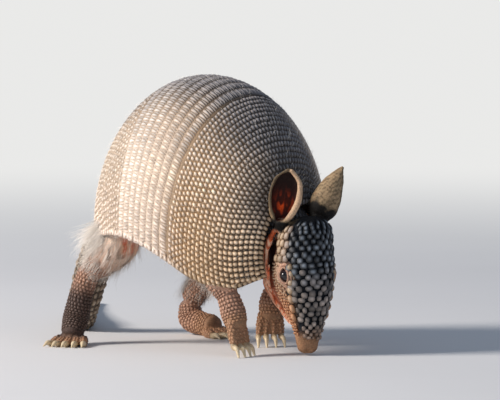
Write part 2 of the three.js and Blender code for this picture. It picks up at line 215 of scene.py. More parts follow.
def full_turn(number):
    """Angles spread evenly over a whole turn."""
    return np.linspace(0, 2 * math.pi, number, endpoint=False)


def grid_places(us, vs):
    """The u and the v of all the places of a grid, row by row."""
    return (grid.ravel() for grid in np.meshgrid(us, vs, indexing="ij"))


def line_steps(line):
    """The distances between the points of a line."""
    return np.linalg.norm(np.diff(line, axis=0), axis=1)


def running_total(steps):
    return np.concatenate([[0], np.cumsum(steps)])


def seeded(number):
    return np.random.default_rng(SEED + number)


def wobble(points, size, seed=0, waves=9):
    """A smooth random field from -1 to 1, with patches about size across."""
    rng = seeded(seed)
    total = np.zeros(points.shape[:-1])
    for _ in range(waves):
        direction = rng.normal(size=3)
        direction *= 2 * math.pi / size / np.linalg.norm(direction) * rng.uniform(0.5, 1.0)
        total += np.sin(points @ direction + rng.uniform(0, 2 * math.pi))
    return np.clip(total / math.sqrt(waves), -1, 1)


class Route:
    """A smooth line through points, with a radius at each place along it."""

    REFERENCE = np.array([1, -0.3, 0]) / math.hypot(1, 0.3)

    def __init__(self, route, radii, fine=400):
        points = np.asarray(route, float)
        knots = np.array([2 * points[0] - points[1], *points, 2 * points[-1] - points[-2]])
        self.share = np.linspace(0, 1, fine)
        place = self.share * (len(points) - 1)
        i = np.minimum(np.floor(place).astype(int), len(points) - 2)
        p0, p1, p2, p3 = (knots[i + k] for k in range(4))
        d0, d1, d2 = (np.linalg.norm(b - a, axis=1)[:, None] ** 0.5
                      for a, b in ((p0, p1), (p1, p2), (p2, p3)))
        slope_in = ((p1 - p0) / d0 - (p2 - p0) / (d0 + d1) + (p2 - p1) / d1) * d1
        slope_out = ((p2 - p1) / d1 - (p3 - p1) / (d1 + d2) + (p3 - p2) / d2) * d1
        self.line = cubic(p1, p2 - p1, slope_in, slope_out, (place - i)[:, None])
        self.tangent = unit_vectors(np.gradient(self.line, axis=0))
        self.normal = unit_vectors(np.cross(self.REFERENCE, self.tangent))
        self.side = np.cross(self.tangent, self.normal)
        self.radii = radii
        self.length = line_steps(self.line).sum()

    def at(self, values, share):
        share = np.asarray(share, float)
        return np.stack([np.interp(share, self.share, values[:, k]) for k in range(3)], axis=-1)

    def radius(self, share):
        return smooth_value(self.radii, np.asarray(share, float))

    def surface(self, share, angle, lift=0.0):
        """A point of the bar's side. angle is about the line, in radians."""
        radius = (self.radius(share) + lift)[..., None]
        angle = np.asarray(angle, float)[..., None]
        return (self.at(self.line, share) + self.at(self.side, share) * np.sin(angle) * radius
                + self.at(self.normal, share) * np.cos(angle) * radius)


# ---------------------------------------------------------------- the body's surfaces

def hem_latitude(spine):
    """Where a ring of the carapace meets the hem, for its latitude on the spine."""
    return 0.62 * spine + np.where(np.asarray(spine) < 0, 2.8e-5, 2e-5) * spine ** 3


def hem_angle(along, latitude):
    """The angle down from the spine, in radians, at which a ring ends."""
    drop = (smooth_value(SHELL["hem"], along) - SHELL["centre"][2]) / SHELL["height"]
    return np.arccos(np.clip(drop / np.cos(np.radians(latitude)), -1, 1))


def shell_length(ahead):
    """How far the carapace reaches from its middle. ahead is below 0 towards the nape."""
    return np.where(ahead < 0, SHELL["front_length"], SHELL["rear_length"])


def shell_point(along, across, lift=0.0):
    """A point of the carapace. along: 0 at the nape, 1 at the tail. across: -1 right hem, 1 left hem."""
    along, across = np.broadcast_arrays(np.asarray(along, float), np.asarray(across, float))
    spine = SHELL["nape"] + SPAN * along
    hem = hem_latitude(spine)
    latitude = np.radians(lerp(spine, hem, step(0, 1, np.abs(across))))
    angle = hem_angle(along, hem) * across
    return SHELL["centre"] + np.stack([
        (SHELL["half_width"] + lift) * np.cos(latitude) * np.sin(angle),
        (shell_length(latitude) + lift) * np.sin(latitude),
        (SHELL["height"] + lift) * np.cos(latitude) * np.cos(angle),
    ], axis=-1)


RING_SPINES = np.linspace(SHELL["nape"], SHELL["tail"], 300)
RING_HEMS = hem_latitude(RING_SPINES)


def under_shell(points):
    """How far points are covered by the carapace, 0 to 1, and how far they lie outside its outline."""
    away = points - SHELL["centre"]
    reach = np.tile([SHELL["half_width"], 0.0, SHELL["height"]], (len(away), 1))
    reach[:, 1] = shell_length(away[:, 1])
    scaled = away / reach
    size = np.maximum(np.linalg.norm(scaled, axis=1), 1e-6)
    latitude = np.degrees(np.arcsin(scaled[:, 1] / size))
    share = (np.interp(latitude, RING_HEMS, RING_SPINES) - SHELL["nape"]) / SPAN
    hem = np.degrees(hem_angle(share, latitude))
    angle = np.degrees(np.abs(np.arctan2(scaled[:, 0], scaled[:, 2])))
    across = np.clip(angle / np.maximum(hem, 1), 0, 1)
    front, rear = (lerp(SHELL[end], hem_latitude(SHELL[end]), step(0, 1, across))
                   for end in ("nape", "tail"))
    covered = step(0.5, 3.5, hem - angle) * step(0, 4, latitude - front) * step(0, 4, rear - latitude)
    return covered, (size - 1) * SHELL["half_width"]


def kept_inside(points, depth=4.2):
    """Points of the trunk and legs that would come through the carapace, drawn back beneath it.

    The neck, ahead of the shell, keeps its shape."""
    covered, outside = under_shell(points)
    covered = covered * step(*NECK_FREE, points[:, 1])
    excess = np.maximum(outside + depth, 0) * covered / SHELL["half_width"]
    size = 1 + outside / SHELL["half_width"]
    return SHELL["centre"] + (points - SHELL["centre"]) * (1 - excess / size)[:, None]


HEAD_SHARES = np.linspace(0, 1, 200)
HEAD_TABLE = [smooth_value(values, HEAD_SHARES)
              for values in (HEAD_Z, HEAD_HALF, HEAD_FRONT, HEAD_BACK)]


def head_half(z):
    """Half of the head's width at a height."""
    return np.interp(z, HEAD_TABLE[0], HEAD_TABLE[1])


def head_point(z, angle, lift=0.0):
    """A point of the head's side. angle is 0 on the forehead and grows towards the left."""
    z, angle = np.broadcast_arrays(np.asarray(z, float), np.asarray(angle, float))
    half, front, back = (np.interp(z, HEAD_TABLE[0], values) for values in HEAD_TABLE[1:])
    centre, depth = (front + back) / 2, (back - front) / 2 + lift
    return on_head(np.stack([(half + lift) * np.sin(angle), centre - depth * np.cos(angle), z], axis=-1))


def ear_frame(word):
    """The ear's root, the way up it, the way it opens, and the way across it."""
    pose = EARS[word]
    up = unit_vectors(np.array(pose["lean"], float))
    opening = np.array(pose["facing"], float)
    opening = unit_vectors(opening - up * (opening @ up))
    return pose["root"], up, opening, np.cross(up, opening)


def ear_point(word, share, turn, lift=0.0):
    """A point of the ear's cup. turn: -1 and 1 at its two edges, 0 down the middle of its back."""
    root, up, opening, across = ear_frame(word)
    share, turn, lift = np.broadcast_arrays(*(np.asarray(x, float) for x in (share, turn, lift)))
    radius = smooth_value(EARS[word]["radii"], share)[..., None]
    angle = (turn * np.radians(smooth_value(EAR_SPANS, share)))[..., None]
    return on_head(root + up * share[..., None] * EAR_LENGTH
                   - across * (radius + lift[..., None]) * np.sin(angle)
                   - opening * (radius * EARS[word]["depth"] + lift[..., None]) * np.cos(angle))


ROUTES = {name: {part: Route(limb[part]["route"], limb[part]["radii"]) for part in ("leg", "foot")}
          for name, limb in LIMBS.items()}
TAIL_ROUTE = Route(TAIL["route"], TAIL["radii"], fine=800)


def toe_lines(limb):
    """Toes and claws fan out from the foot; the middle ones are the longest."""
    toes, claw = limb["toes"], limb["claw"]
    for i in range(toes["count"]):
        place = 2 * i / (toes["count"] - 1) - 1
        spread = np.array(toes["spread"], float) * place
        root = np.array(toes["root"], float) + 0.65 * spread
        full = np.array(toes["tip"], float) + spread
        tip = lerp(root, full, 1 - 0.22 * place ** 2)
        tip[2] = full[2]
        bend = tip + np.array(claw["bend"], float) + 0.12 * spread
        yield root, tip, bend, bend + np.array(claw["tip"], float) + 0.1 * spread


# ---------------------------------------------------------------- meshes

def colour(code):
    """An sRGB colour such as "c8b090" as linear light."""
    value = np.array([int(code[i:i + 2], 16) for i in (0, 2, 4)]) / 255
    return np.where(value <= 0.04045, value / 12.92, ((value + 0.055) / 1.055) ** 2.4)


def blend(base, other, mask):
    """The base where the mask is 0, the other where it is 1."""
    return base + (other - base) * np.asarray(mask, float)[..., None]


def grid_faces(rows, columns, closed=False, looped=False):
    """Quads of a grid of points. closed joins the last column to the first, looped the last row."""
    i = np.arange(rows if looped else rows - 1)[:, None] * columns
    j = np.arange(columns if closed else columns - 1)[None, :]
    below = (i + columns) % (rows * columns)
    k = (j + 1) % columns
    return np.stack([i + j, i + k, below + k, below + j], axis=-1).reshape(-1, 4)


def fan(ring, centre):
    """Triangles from a ring of points to the one in its middle."""
    return np.stack([ring, np.roll(ring, -1), np.full(len(ring), centre)], axis=-1)


def tube(rings):
    """A closed solid from rings of points, with a flat fan at each end."""
    rows, columns = rings.shape[:2]
    points = np.concatenate([rings.reshape(-1, 3), rings[[0, -1]].mean(axis=1)])
    ring = np.arange(columns)
    first = rows * columns
    caps = np.concatenate([fan(ring, first)[:, [1, 0, 2]], fan(first - columns + ring, first + 1)])
    return points, [grid_faces(rows, columns, closed=True), caps]


END_RINGS = 4                  # in each domed end of a bar


def bar_shares(steps):
    """How far along its route each ring of a bar lies."""
    return np.concatenate([np.zeros(END_RINGS), np.linspace(0, 1, steps + 1), np.ones(END_RINGS)])


def bar(route, sides=24, steps=24, grow=0.0, roundness=0.5):
    """A round bar along a route. roundness is the depth of its domed ends in radii."""
    turn = np.linspace(0, math.pi / 2, END_RINGS + 2)[1:-1]
    shares = bar_shares(steps)
    shrink = np.concatenate([np.cos(turn[::-1]), np.ones(steps + 1), np.cos(turn)])
    push = np.concatenate([-np.sin(turn[::-1]), np.zeros(steps + 1), np.sin(turn)])
    radius = route.radius(shares) + grow
    shares, angles = np.broadcast_arrays(shares[:, None], full_turn(sides)[None, :])
    rings = route.surface(shares, angles, grow - (radius * (1 - shrink))[:, None])
    ahead = route.at(route.tangent, shares) * (push * radius * roundness)[:, None, None]
    return tube(rings + ahead)


def plate(surface, us, vs, outer, inner):
    """A curved plate with a closed edge. outer and inner are its lifts, for each u or for all."""
    u, v = np.meshgrid(us, vs, indexing="ij")
    points = np.concatenate([surface(u, v, np.broadcast_to(lift, len(us))[:, None]).reshape(-1, 3)
                             for lift in (outer, inner)])
    rows, columns = u.shape
    faces = grid_faces(rows, columns)
    rim = np.concatenate([
        np.arange(columns), np.arange(1, rows) * columns + columns - 1,
        (rows - 1) * columns + np.arange(columns - 2, -1, -1), np.arange(rows - 2, 0, -1) * columns,
    ])
    after = np.roll(rim, -1)
    size = rows * columns
    edge = np.stack([after, rim, rim + size, after + size], axis=-1)
    return points, [faces, faces[:, ::-1] + size, edge]


def joined(parts):
    """Several (points, faces) as one."""
    points, groups, start = [], {}, 0
    for part_points, part_faces in parts:
        for faces in outward(part_points, part_faces):
            groups.setdefault(faces.shape[1], []).append(faces + start)
        points.append(part_points)
        start += len(part_points)
    return np.concatenate(points), [np.concatenate(faces) for faces in groups.values()]


def outward(points, face_groups):
    """The faces of closed solids, all turned over if they look inwards."""
    volume = 0.0
    for faces in face_groups:
        for k in range(1, faces.shape[1] - 1):
            crossed = np.cross(points[faces[:, k]], points[faces[:, k + 1]])
            volume += np.einsum("ij,ij->", points[faces[:, 0]], crossed)
    return face_groups if volume > 0 else [faces[:, ::-1] for faces in face_groups]


def new_mesh(name, points, face_groups):
    """A smooth-shaded mesh, and the point at each of its faces' corners."""
    mesh = bpy.data.meshes.new(name)
    mesh.vertices.add(len(points))
    mesh.vertices.foreach_set("co", to_frame(points).astype(np.float32).ravel())
    corners = np.concatenate([faces.ravel() for faces in face_groups]).astype(np.int32)
    sizes = np.concatenate([np.full(len(faces), faces.shape[1]) for faces in face_groups])
    mesh.loops.add(len(corners))
    mesh.loops.foreach_set("vertex_index", corners)
    mesh.polygons.add(len(sizes))
    mesh.polygons.foreach_set("loop_start", (np.cumsum(sizes) - sizes).astype(np.int32))
    mesh.update(calc_edges=True)
    mesh.polygons.foreach_set("use_smooth", np.ones(len(sizes), bool))
    return mesh, corners


def new_object(name, data):
    made = bpy.data.objects.new(name, data)
    bpy.context.scene.collection.objects.link(made)
    return made


def above_floor(points):
    """Points that would lie below the floor, flattened onto it."""
    return np.concatenate([points[:, :2], np.maximum(points[:, 2:], FLOOR_GAP)], axis=1)


def paint(mesh, tones):
    """Stores a tone for each point, for the materials to read."""
    attribute = mesh.attributes.new("tone", "FLOAT_COLOR", "POINT")
    rgba = np.concatenate([np.clip(tones, 0, 1), np.ones((len(tones), 1))], axis=1)
    attribute.data.foreach_set("color", rgba.astype(np.float32).ravel())


def add_piece(name, points, face_groups, look, tones, patches=None, replaces=()):
    """A piece of the animal. tones is a colour for each point, patches its place on the OFBake map."""
    points = above_floor(points)
    mesh, corners = new_mesh(name, points, outward(points, face_groups))
    paint(mesh, tones)
    if patches is not None:
        layer = mesh.uv_layers.new(name="OFBake")
        layer.data.foreach_set("uv", np.clip(patches, 0, 1)[corners].astype(np.float32).ravel())
    mesh.validate()
    mesh.materials.append(look)
    piece = new_object(name, mesh)
    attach(piece, "root")
    if replaces:
        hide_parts(*replaces)


# ---------------------------------------------------------------- scutes, scales and hairs

PATCH = 0.003                  # of each scute or hair on the OFBake map
DOME = [(1.0, -0.45), (0.92, 0.1), (0.7, 0.5), (0.36, 0.86)]     # radius and height of its rings
SIDE_SHADE = np.array([0.66, 0.57, 0.48])        # painted shade on a scute's sides, against its paler top, a painted highlight
BAND_SIDE_SHADE = np.array([0.8, 0.73, 0.67])    # the same on the bands, with lighter painted shade on their sides


class Coat:
    """Gathers many small solids, with their colours and places on the map, into one piece."""

    def __init__(self):
        self.parts, self.tones, self.patches = [], [], []

    def add(self, points, faces, tones, patches):
        """points is (number, points of one, 3); faces are those of one."""
        number, size = points.shape[:2]
        starts = (np.arange(number) * size)[:, None, None]
        groups = [(group[None] + starts).reshape(-1, group.shape[1]) for group in faces]
        self.parts.append((points.reshape(-1, 3), groups))
        self.tones.append(tones.reshape(-1, 3))
        self.patches.append(patches.reshape(-1, 2))

    def piece(self, name, look, slot, replaces=()):
        points, faces = joined(self.parts)
        add_piece(name, points, faces, look, np.concatenate(self.tones),
                  np.concatenate(self.patches), replaces)


def domes(coat, surface, u, v, half_u, half_v, height, crown, gap, where,
          taper=0.0, sides=10, square=0.85, side_shade=SIDE_SHADE, highlight_above=0.35):
    """Low rounded scutes on a surface: crown is the tone of each, gap the tone at their feet.

    taper widens them towards growing u; where(u, v) is the map."""
    u, v, half_u, half_v, height, taper = (
        np.broadcast_to(np.asarray(value, float), np.shape(u))[:, None]
        for value in (u, v, half_u, half_v, height, taper))
    angle = full_turn(sides)
    c, s = (np.sign(part) * np.abs(part) ** square for part in (np.cos(angle), np.sin(angle)))
    radii, rises = np.transpose(DOME)
    across_u = np.append(np.outer(radii, c), 0)
    across_v = np.append(np.outer(radii, s), 0)
    lift = np.append(np.repeat(rises, sides), 1)
    reach_v = half_v * across_v * (1 + taper * across_u)
    points = surface(u + half_u * across_u, v + reach_v, height * lift)
    rings = len(DOME)
    walls = grid_faces(rings, sides, closed=True)
    around = np.arange(sides)
    cap = fan((rings - 1) * sides + around, rings * sides)
    base = around[::-1][None]
    # Painted light: the sides take the crown tone darkened by side_shade, a painted shade; above
    # highlight_above the top takes the full crown tone, a painted highlight.
    body, top = (crown * side_shade)[:, None, :], crown[:, None, :]
    gap = np.broadcast_to(gap, crown.shape)[:, None, :]
    tones = blend(gap, body, np.broadcast_to(step(rises[0], 0.3, lift), points.shape[:2]))
    tones = tones + (top - body) * step(highlight_above, 1.0, lift)[None, :, None]
    spread = np.stack(np.broadcast_arrays(across_u, across_v), axis=-1) * PATCH / 2
    coat.add(points, [walls, cap, base], tones, where(u, v) + spread)


def hairs(coat, roots, directions, lengths, widths, tones, places, droop=0.35, steps=4, seed=0):
    """Thin tapered three-sided hairs that lean along directions and bend down towards their tips."""
    sides = 3
    number = len(roots)
    share = np.linspace(0, 1, steps + 1)[None, :, None]
    sway = seeded(seed).normal(scale=0.12, size=(number, 1, 3))
    bend = np.array([0, 0, -1.0]) * droop + sway
    line = roots[:, None] + lengths[:, None, None] * (directions[:, None] * share + bend * share ** 2)
    side = unit_vectors(np.cross(directions, [0.3, 0.2, 0.93]))
    other = np.cross(directions, side)
    angle = full_turn(sides)[:, None]
    ring = side[:, None, None] * np.cos(angle) + other[:, None, None] * np.sin(angle)
    width = widths[:, None, None, None] * (1 - 0.85 * share[..., None])
    points = (line[:, :, None] + ring * width).reshape(number, -1, 3)
    caps = np.array([[0, 2, 1], [sides * steps, sides * steps + 1, sides * steps + 2]])
    spread = np.stack([np.repeat(np.linspace(-1, 1, steps + 1), sides), np.tile([-1, 0, 1], steps + 1)],
                      axis=-1)
    coat.add(points, [grid_faces(steps + 1, sides, closed=True), caps],
             np.broadcast_to(tones[:, None], points.shape), places[:, None] + spread * PATCH / 2)


# ---------------------------------------------------------------- materials

def set_inputs(tree, shader, **inputs):
    """Sets the inputs of a shader node. A value that is a socket is linked."""
    for name, value in inputs.items():
        socket = shader.inputs[name.replace("_", " ")]
        if isinstance(value, bpy.types.NodeSocket):
            tree.links.new(value, socket)
        else:
            socket.default_value = value


def node(tree, kind, **inputs):
    """A new shader node with its inputs set."""
    made = tree.nodes.new(kind)
    set_inputs(tree, made, **inputs)
    return made


def new_look(name):
    look = bpy.data.materials.new(name)
    look.use_nodes = True
    return look, look.node_tree, look.node_tree.nodes["Principled BSDF"]


def own_place(tree):
    """Where each point of a piece lies on the piece's own axes."""
    return tree.nodes.new("ShaderNodeTexCoord").outputs["Object"]


def from_camera(tree):
    """1 for what the camera itself sees, 0 for light that falls on the animal."""
    return tree.nodes.new("ShaderNodeLightPath").outputs["Is Camera Ray"]


def brightened(tree, tone, factor):
    """The tone made lighter or darker by a factor."""
    made = tree.nodes.new("ShaderNodeVectorMath")
    made.operation = "SCALE"
    tree.links.new(tone, made.inputs[0])
    tree.links.new(factor, made.inputs["Scale"])
    return made.outputs["Vector"]


def mixed(tree, share, first, second):
    """Two shaders mixed: only the first where share is 0, only the second where it is 1."""
    mix = node(tree, "ShaderNodeMixShader", Fac=share)
    tree.links.new(first, mix.inputs[1])
    tree.links.new(second, mix.inputs[2])
    return mix.outputs["Shader"]


def mottled(tree, tone, amount, scale, seed=0.0):
    """The tone made lighter and darker in soft patches, and the noise that does it."""
    moved = node(tree, "ShaderNodeMapping", Vector=own_place(tree),
                 Location=(seed, seed * 0.7, seed * 1.3))
    noise = node(tree, "ShaderNodeTexNoise", Vector=moved.outputs["Vector"], Scale=scale,
                 Detail=5.0, Roughness=0.62)
    level = node(tree, "ShaderNodeMapRange", Value=noise.outputs["Fac"], From_Min=0.3, From_Max=0.7,
                 To_Min=1 - amount, To_Max=1 + amount)
    return brightened(tree, tone, level.outputs["Result"]), noise.outputs["Fac"]


def surface_look(name, roughness, mottle=0.18, mottle_scale=160.0, grain=900.0, depth=0.3, specular=0.4,
                 cells=None, cell_depth=0.0, subsurface=0.0, coat=0.0):
    """A material with the piece's own tone, mottled, and a relief of pores and small cells."""
    look, tree, shader = new_look(name)
    tone = tree.nodes.new("ShaderNodeAttribute")
    tone.attribute_name = "tone"
    broad, patch = mottled(tree, tone.outputs["Color"], mottle, mottle_scale)
    fine, _ = mottled(tree, broad, mottle * 0.7, mottle_scale * 6, seed=3.1)
    rough = node(tree, "ShaderNodeMapRange", Value=patch, To_Min=roughness - 0.1,
                 To_Max=min(roughness + 0.12, 1.0))
    place = own_place(tree)
    pores = node(tree, "ShaderNodeTexNoise", Vector=place, Scale=grain, Detail=4.0, Roughness=0.6)
    relief = node(tree, "ShaderNodeBump", Strength=depth, Distance=0.0006, Height=pores.outputs["Fac"])
    if cells:
        scales = node(tree, "ShaderNodeTexVoronoi", Vector=place, Scale=cells)
        scales.feature = "DISTANCE_TO_EDGE"
        edge = node(tree, "ShaderNodeMapRange", Value=scales.outputs["Distance"], From_Max=0.16)
        relief = node(tree, "ShaderNodeBump", Strength=cell_depth, Distance=0.0008,
                      Height=edge.outputs["Result"], Normal=relief.outputs["Normal"])
        darker = node(tree, "ShaderNodeMapRange", Value=edge.outputs["Result"], To_Min=0.72)
        fine = brightened(tree, fine, darker.outputs["Result"])
    set_inputs(tree, shader, Base_Color=fine, Roughness=rough.outputs["Result"],
               Normal=relief.outputs["Normal"], Specular_IOR_Level=specular,
               Subsurface_Weight=subsurface, Subsurface_Scale=0.002, Coat_Weight=coat)
    return look


LOOKS = {
    "plate": surface_look("shell_hide", 0.7, mottle=0.22, cells=900.0, cell_depth=0.35, specular=0.3),
    "scute": surface_look("scute_horn", 0.5, mottle=0.12, mottle_scale=260.0, grain=1500.0, depth=0.2),
    "scale": surface_look("head_scale_horn", 0.46, mottle=0.16, mottle_scale=320.0, grain=1500.0,
                          depth=0.25),
    "skin": surface_look("hide", 0.66, mottle=0.14, cells=620.0, cell_depth=0.25, depth=0.35,
                         specular=0.22, subsurface=0.04),
    "claw": surface_look("claw_horn", 0.38, mottle=0.16, mottle_scale=500.0, grain=1200.0, depth=0.15),
    "eye": surface_look("eye_gloss", 0.24, mottle=0.1, mottle_scale=900.0, depth=0.0, specular=0.5,
                        coat=0.4),
    "hair": surface_look("hair", 0.6, mottle=0.12, mottle_scale=400.0, depth=0.0, specular=0.3),
}

# ---------------------------------------------------------------- colours

TONES = {name: colour(code) for name, code in {
    "back": "868589", "nape": "565558", "flank": "fdebd6", "front_low": "ebcfac", "band": "fff6ea",
    "rump": "d9cec0", "hem": "f1e2d5", "bead": "c6ad8c",
    "gap": "463f39", "gap_flank": "a3835f", "gap_pale": "dccab8", "gap_rump": "b8a48f",
    "slate": "1c2026", "head_scale": "838a92", "brow_scale": "a6988e",
    "cheek": "c9ab90", "cheek_scale": "b9a388", "snout": "c9966f", "lid": "c69c84",
    "throat": "ff7a48", "throat_pale": "ffc8a4", "throat_crease_shade": "24120e",
    "ear_back": "a58c6c", "ear_pit": "1e0b06", "ear_inside": "340b03", "ear_glow": "ff5a1c",
    "ear_rim": "c9a888", "iris": "21151b", "pupil": "0a070a", "dark": "1b1512",
    "neck": "5c3d33", "belly": "b99a86", "thigh": "e0c8b3", "leg": "b8907a", "toe": "b48a6a",
    "foot_dark": "5a4840", "tail": "5f554b", "tail_scute": "9a8d7d", "horn": "b99d78",
    "horn_tip": "dcc9a6", "hair": "f5ede3", "soft_hair": "d0c7bd",
}.items()}


def tinted(tones, amount, seed):
    """Each of the tones made a little lighter or darker, by its own amount."""
    lightness = seeded(seed).normal(size=(len(tones), 1)).clip(-1.8, 1.8)
    return np.clip(tones * (1 + amount * lightness), 0, 1)


# ---------------------------------------------------------------- shell

BAND_TUCK = 0.14               # of a band's width, hidden under the plate in front of it
BAND_END = 0.985               # of a band's width, where its plate ends
PLATE_LIFT = -1.0              # of the hide between the scutes, below the shell's outline
SHIELD_DEPTH = 1.6             # thickness of the shields' plates
BAND_DEPTH = 1.2               # and of the bands'
LOWEST = -3.3                  # lift of the solids' inner face, below which no plate reaches
FINE_ACROSS = 181


def band_ramp(along):
    """Each band rises from under the plate in front to its own rear edge."""
    share = ((np.asarray(along, float) - SHOULDER) / BAND) % 1.0
    return PLATE_LIFT - 0.9 + 1.5 * share ** 0.8


def band_surface(along, across, lift):
    return shell_point(along, across, band_ramp(along) + lift)


def shield_surface(along, across, lift):
    return shell_point(along, across, PLATE_LIFT + lift)


def shell_map(along, across):
    """The shell's own unwrap: the way along it and the way across it."""
    along, across = np.broadcast_arrays(along, across)
    return np.stack([0.01 + 0.98 * along, 0.5 + 0.49 * across], axis=-1)


def narrowed(along):
    """How far the flanks' tones draw in over the back, towards the tail."""
    return 0.18 * step(0.62, 0.9, along)


def shell_tone(along, across, seed):
    """Grey along the back and darker at the nape, both partly painted shade; cream down the flanks,
    palest at the rear hem.
    """
    away = np.abs(across)
    side = step(0.12, 0.72, away + narrowed(along) + 0.1 * wobble(shell_point(along, across), 40, seed))
    flank = blend(TONES["flank"], TONES["band"], step(0.42, 0.52, along))
    flank = blend(flank, TONES["rump"], step(0.57, 0.64, along))
    # Painted shade: the back's grey is partly the animal's own darker back and partly painted shade,
    # darker and bluer.
    tone = lerp(np.broadcast_to(TONES["back"], flank.shape), flank, side[..., None])
    # Painted shade: the darker nape tone is partly the scutes' own colour and partly painted shade near
    # the head.
    tone = blend(tone, TONES["nape"], step(0.17, 0.02, along) * step(0.85, 0.45, away))
    tone = blend(tone, TONES["front_low"], 0.9 * step(0.5, 0.92, away) * step(0.36, 0.28, along))
    return blend(tone, TONES["hem"], 0.85 * (step(0.6, 0.95, away) * step(0.2, 0.34, along)))


def hide_tone(along, across):
    """The tone of the hide between the scutes."""
    away = np.abs(across) + narrowed(along)
    tone = blend(TONES["gap"], TONES["gap_flank"], step(0.12, 0.6, away) * step(0.02, 0.2, along))
    tone = blend(tone, TONES["gap_pale"], step(0.2, 0.7, away) * step(0.27, 0.4, along))
    tone = blend(tone, TONES["gap_rump"], 0.8 * step(0.4, 0.7, away) * step(0.59, 0.63, along))
    return blend(tone, TONES["hem"], step(0.965, 1.0, np.abs(across)) * step(0.2, 0.4, along))


def add_plate(name, us, outer, inner, node_name):
    across = np.linspace(-1, 1, FINE_ACROSS)
    points, faces = plate(shell_point, us, across, outer, inner)
    tones = np.tile(hide_tone(*grid_places(us, across)), (2, 1))
    add_piece(name, points, faces, LOOKS["plate"], tones, replaces=[node_name])


def add_plates():
    """The smooth plates: both shields and the bands, each tucked under the plate in front of it."""
    us = np.linspace(0, SHOULDER - BAND * 0.02, 70)
    outer = PLATE_LIFT + 0.8 * step(SHOULDER - 0.12 * BAND, SHOULDER, us) - 0.8 * step(0.03, 0.0, us)
    add_plate("plate_scapular", us, outer, outer - SHIELD_DEPTH, "scapular_shield")
    for number in range(1, BANDS + 1):
        start = SHOULDER + BAND * (number - 1)
        share = np.linspace(-BAND_TUCK, BAND_END, 14)
        outer = np.where(share < 0, PLATE_LIFT - 1.5, band_ramp(start + BAND * np.maximum(share, 1e-6)))
        inner = np.maximum(outer - BAND_DEPTH, LOWEST)
        add_plate(f"plate_band_{number}", start + BAND * share, outer, inner, f"band_{number}")
    us = np.linspace(HIP - BAND_TUCK * BAND, 1, 76)
    outer = PLATE_LIFT - 1.4 * step(HIP + 0.1 * BAND, HIP - 0.1 * BAND, us)
    inner = np.minimum(outer - 0.6, PLATE_LIFT - SHIELD_DEPTH)
    add_plate("plate_pelvic", us, outer, inner, "pelvic_shield")


FLANK = 0.55                   # where the rows of scutes are in step with each other
LAST_ROOM = 0.35               # the least room between a row's last scute and the hem, in scutes
SIDE_STEPS = np.linspace(0, 1, 240)


def row_counts(along, spacing, growth):
    """How many scutes lie between the spine and each place down the side of a row."""
    steps = line_steps(shell_point(along, SIDE_STEPS))
    middle_of_step = (SIDE_STEPS[1:] + SIDE_STEPS[:-1]) / 2
    count = running_total(steps / (spacing * (1 + growth * (middle_of_step - 0.5))))
    at_flank = np.interp(FLANK, SIDE_STEPS, count)
    return count * round(at_flank) / at_flank


def row_of_scutes(along, spacing, growth, offset):
    """Places across both sides of a row, and half the room of each scute."""
    count = row_counts(along, spacing, growth)
    numbers = np.arange(offset, count[-1] - LAST_ROOM, 1.0)
    places, before, after = (np.interp(numbers + shift, count, SIDE_STEPS) for shift in (0, -0.5, 0.5))
    room = np.where(numbers < 0.5, np.interp(0.5, count, SIDE_STEPS), (after - before) / 2)
    left = numbers > 0
    return np.concatenate([-places[left][::-1], places]), np.concatenate([room[left][::-1], room])


SHIELD_SCUTES = {              # jitter, rise and fullness are of each scute: its place, height and size
    "scapular": {"start": 0.012, "end": SHOULDER - 0.006, "spacing": 3.5, "growth": 0.36,
                 "jitter": 0.08, "rise": 1.25, "fullness": 1.0, "seed": 100},
    "pelvic": {"start": HIP + 0.004, "end": 0.985, "spacing": 4.0, "growth": 0.3,
               "jitter": 0.2, "rise": 0.9, "fullness": 0.87, "seed": 150},
}
SHIELD_ROWS = 20
SHIELD_TINT = 0.1              # how much lighter or darker single scutes are


def shield_scutes(name, start, end, spacing, growth, jitter, rise, fullness, seed):
    """Rows of rounded scutes, each row half a scute out of step, with small scales between them."""
    rng = seeded(seed)
    large, small = Coat(), Coat()
    pitch = (end - start) / SHIELD_ROWS
    for i in range(SHIELD_ROWS):
        along = start + pitch * (i + 0.5)
        for offset, fill in ((0.5 * (i % 2), False), (0.5 * ((i + 1) % 2), True)):
            v, room = row_of_scutes(along, spacing, growth, offset)
            shift = rng.normal(scale=jitter, size=(2, len(v)))
            if fill:
                u = along + pitch * 0.3 + 0 * v
                tones = tinted(shell_tone(u, v, seed) * 0.7, SHIELD_TINT, seed + i)
                domes(small, shield_surface, u, v, pitch * 0.17, room * 0.26, 0.5, tones,
                      hide_tone(u, v), shell_map, sides=6)
                continue
            u = along + pitch * 0.6 * shift[0]
            v = v + room * 0.9 * shift[1]
            size = fullness * (1 + 0.6 * shift[0].clip(-0.35, 0.3))
            tones = tinted(shell_tone(u, v, seed), SHIELD_TINT, seed + i)
            domes(large, shield_surface, u, v, pitch * 0.53 * size, room * 0.84 * size,
                  rise + 0.25 * step(0.5, 1, np.abs(v)), tones, hide_tone(u, v) * 0.8, shell_map)
    large.piece(f"scutes_{name}", LOOKS["scute"], "shield")
    small.piece(f"small_scutes_{name}", LOOKS["scute"], "shield")


BAND_SPACING = 4.3
BAND_WEDGES = [                # offset in the row, share of its room, taper, height and shade
    (0.0, 0.55, 0.6, 0.9, 1.0),
    (0.5, 0.3, -0.8, 0.6, 0.8),
]


